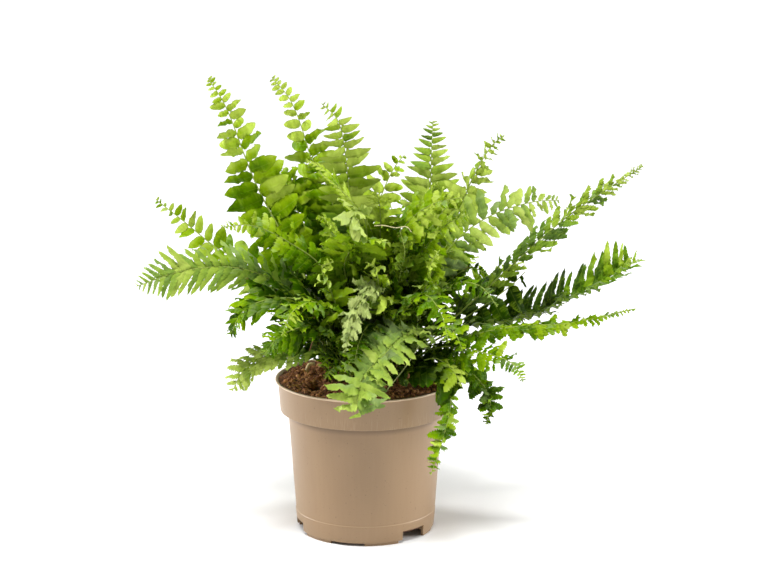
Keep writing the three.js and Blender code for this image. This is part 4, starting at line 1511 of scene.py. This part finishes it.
def pot_finish():
    """Streaked plastic with a painted highlight on the lip, a scratched band with painted shade under it,
    and a painted highlight along the mould line
    """
    graph = Finish("pot_plastic")
    place = graph.place()
    x, y, z = place.split()
    radius = (x * x + y * y).apply("SQRT")
    streaks = graph.noise(place * (1, 1, 0.06), 420, 3)
    broad = graph.noise(place * (1, 1, 0.25), 45, 2)
    depth = 0.5 + (streaks - 0.5) * 0.35 + (broad - 0.5) * 0.8
    speck = graph.smooth(graph.noise(place, 900, 0), 0.78, 0.84)
    # Painted highlight on the lip bead
    lip = graph.smooth(z, POT_HEIGHT - LIP_DEPTH - 0.3 * MM, POT_HEIGHT - 0.6 * LIP_DEPTH)
    outside = graph.smooth(radius, BODY_TOP_RADIUS + 1 * MM, BODY_TOP_RADIUS + 3 * MM)
    # Painted shade on the body just under the band
    band_shade = graph.smooth(z, BAND_BOTTOM - 6 * MM, BAND_BOTTOM - 1 * MM) * (1 - outside)
    scratch = graph.smooth(graph.noise(place * (1, 1, 0.02), 1300, 1), 0.56, 0.64)
    low_band = outside * (1 - graph.smooth(z, BAND_BOTTOM + 4 * MM, BAND_BOTTOM + 11 * MM))
    # Painted highlight along the mould line
    line = 1 - graph.smooth((z - MOULD_LINE - 0.2 * MM).apply("ABSOLUTE"), 0.05 * MM, 0.35 * MM)
    colour = graph.layered(graph.blend(depth, srgb(*POT_DARK), srgb(*POT_LIGHT)), [
        (speck * 0.35, POT_SPECK),
        (lip * 0.7, POT_HIGHLIGHT),
        (band_shade * 0.6, POT_BAND_SHADE),
        (scratch * low_band * 0.08, POT_SCRATCH),
        (line * 0.2, POT_HIGHLIGHT),
    ])
    height = streaks * 0.4 + graph.noise(place, 1400, 1) * 0.3
    shader = graph.principled({
        "Base Color": colour,
        "Roughness": 0.4 + (broad - 0.5) * 0.2,
        "Normal": graph.bump(height, 0.00008, 0.5),
        "IOR": 1.46,
    })
    return graph.close(shader)


def peat_finish():
    """Brown grains, paler where a crumb's own tone is, and darker with painted shade where the peat lies
    low, as in the finger hole
    """
    graph = Finish("peat")
    place = graph.place()
    # Painted shade where the peat lies below its edge, as in the finger hole
    low_shade = 1 - graph.smooth(place.split()[2], SOIL_EDGE - 6 * MM, SOIL_EDGE - 1 * MM)
    depth = graph.noise(place, 500, 3) * 0.6 + graph.stored("tone") * 0.5 - low_shade * 0.4
    shader = graph.principled({
        "Base Color": graph.ramp(depth, PEAT_BROWNS),
        "Roughness": 0.85,
        "Normal": graph.bump(graph.noise(place, 1600, 3), 0.0004, 0.8),
    })
    return graph.close(shader)


# Stage


def make_stage():
    scene = bpy.context.scene
    graph = Finish("pale_floor")
    paint = graph.close(graph.principled({"Base Color": FLOOR_COLOUR, "Roughness": 0.8}))
    half = FLOOR_SIZE / 2
    corners = [(-half, -half, 0), (half, -half, 0), (half, half, 0), (-half, half, 0)]
    ground = painted(mesh_object("floor", corners, [[0, 1, 2, 3]]), paint)
    world = bpy.data.worlds.new("studio")
    world.use_nodes = True
    background = world.node_tree.nodes["Background"]
    background.inputs["Color"].default_value = (1, 1, 1, 1)
    background.inputs["Strength"].default_value = SKY_STRENGTH
    scene.world = world
    for name, place, size, power in SOFTBOXES:
        light = bpy.data.lights.new(name, "AREA")
        light.shape = "RECTANGLE"
        light.size, light.size_y = size
        light.energy = power
        aimed(name, light, place)
    key = bpy.data.lights.new("key", "SUN")
    key.energy = KEY_STRENGTH
    key.angle = radians(KEY_SPREAD)
    aimed("key", key, KEY_PLACE)
    scene.view_settings.view_transform = "Standard"


def aimed(name, light, place):
    """A light at a place, turned to the middle of the plant"""
    direction = Vector((0, 0, PLANT_MIDDLE)) - Vector(place)
    placed(name, light, place, direction.to_track_quat("-Z", "Y").to_euler())


def make_camera():
    lens = bpy.data.cameras.new("camera")
    lens.sensor_width = SENSOR_WIDTH
    lens.lens = CAMERA_FOCUS / FRAME_WIDTH * SENSOR_WIDTH
    lens.clip_end = CAMERA_CLIP
    turn = (radians(90 - CAMERA_PITCH), 0, -radians(CAMERA_YAW))
    bpy.context.scene.camera = placed("camera", lens, CAMERA_PLACE, turn)


make_camera()
make_stage()
make_pot()
make_peat()
make_crown()
make_strands()
make_fronds()
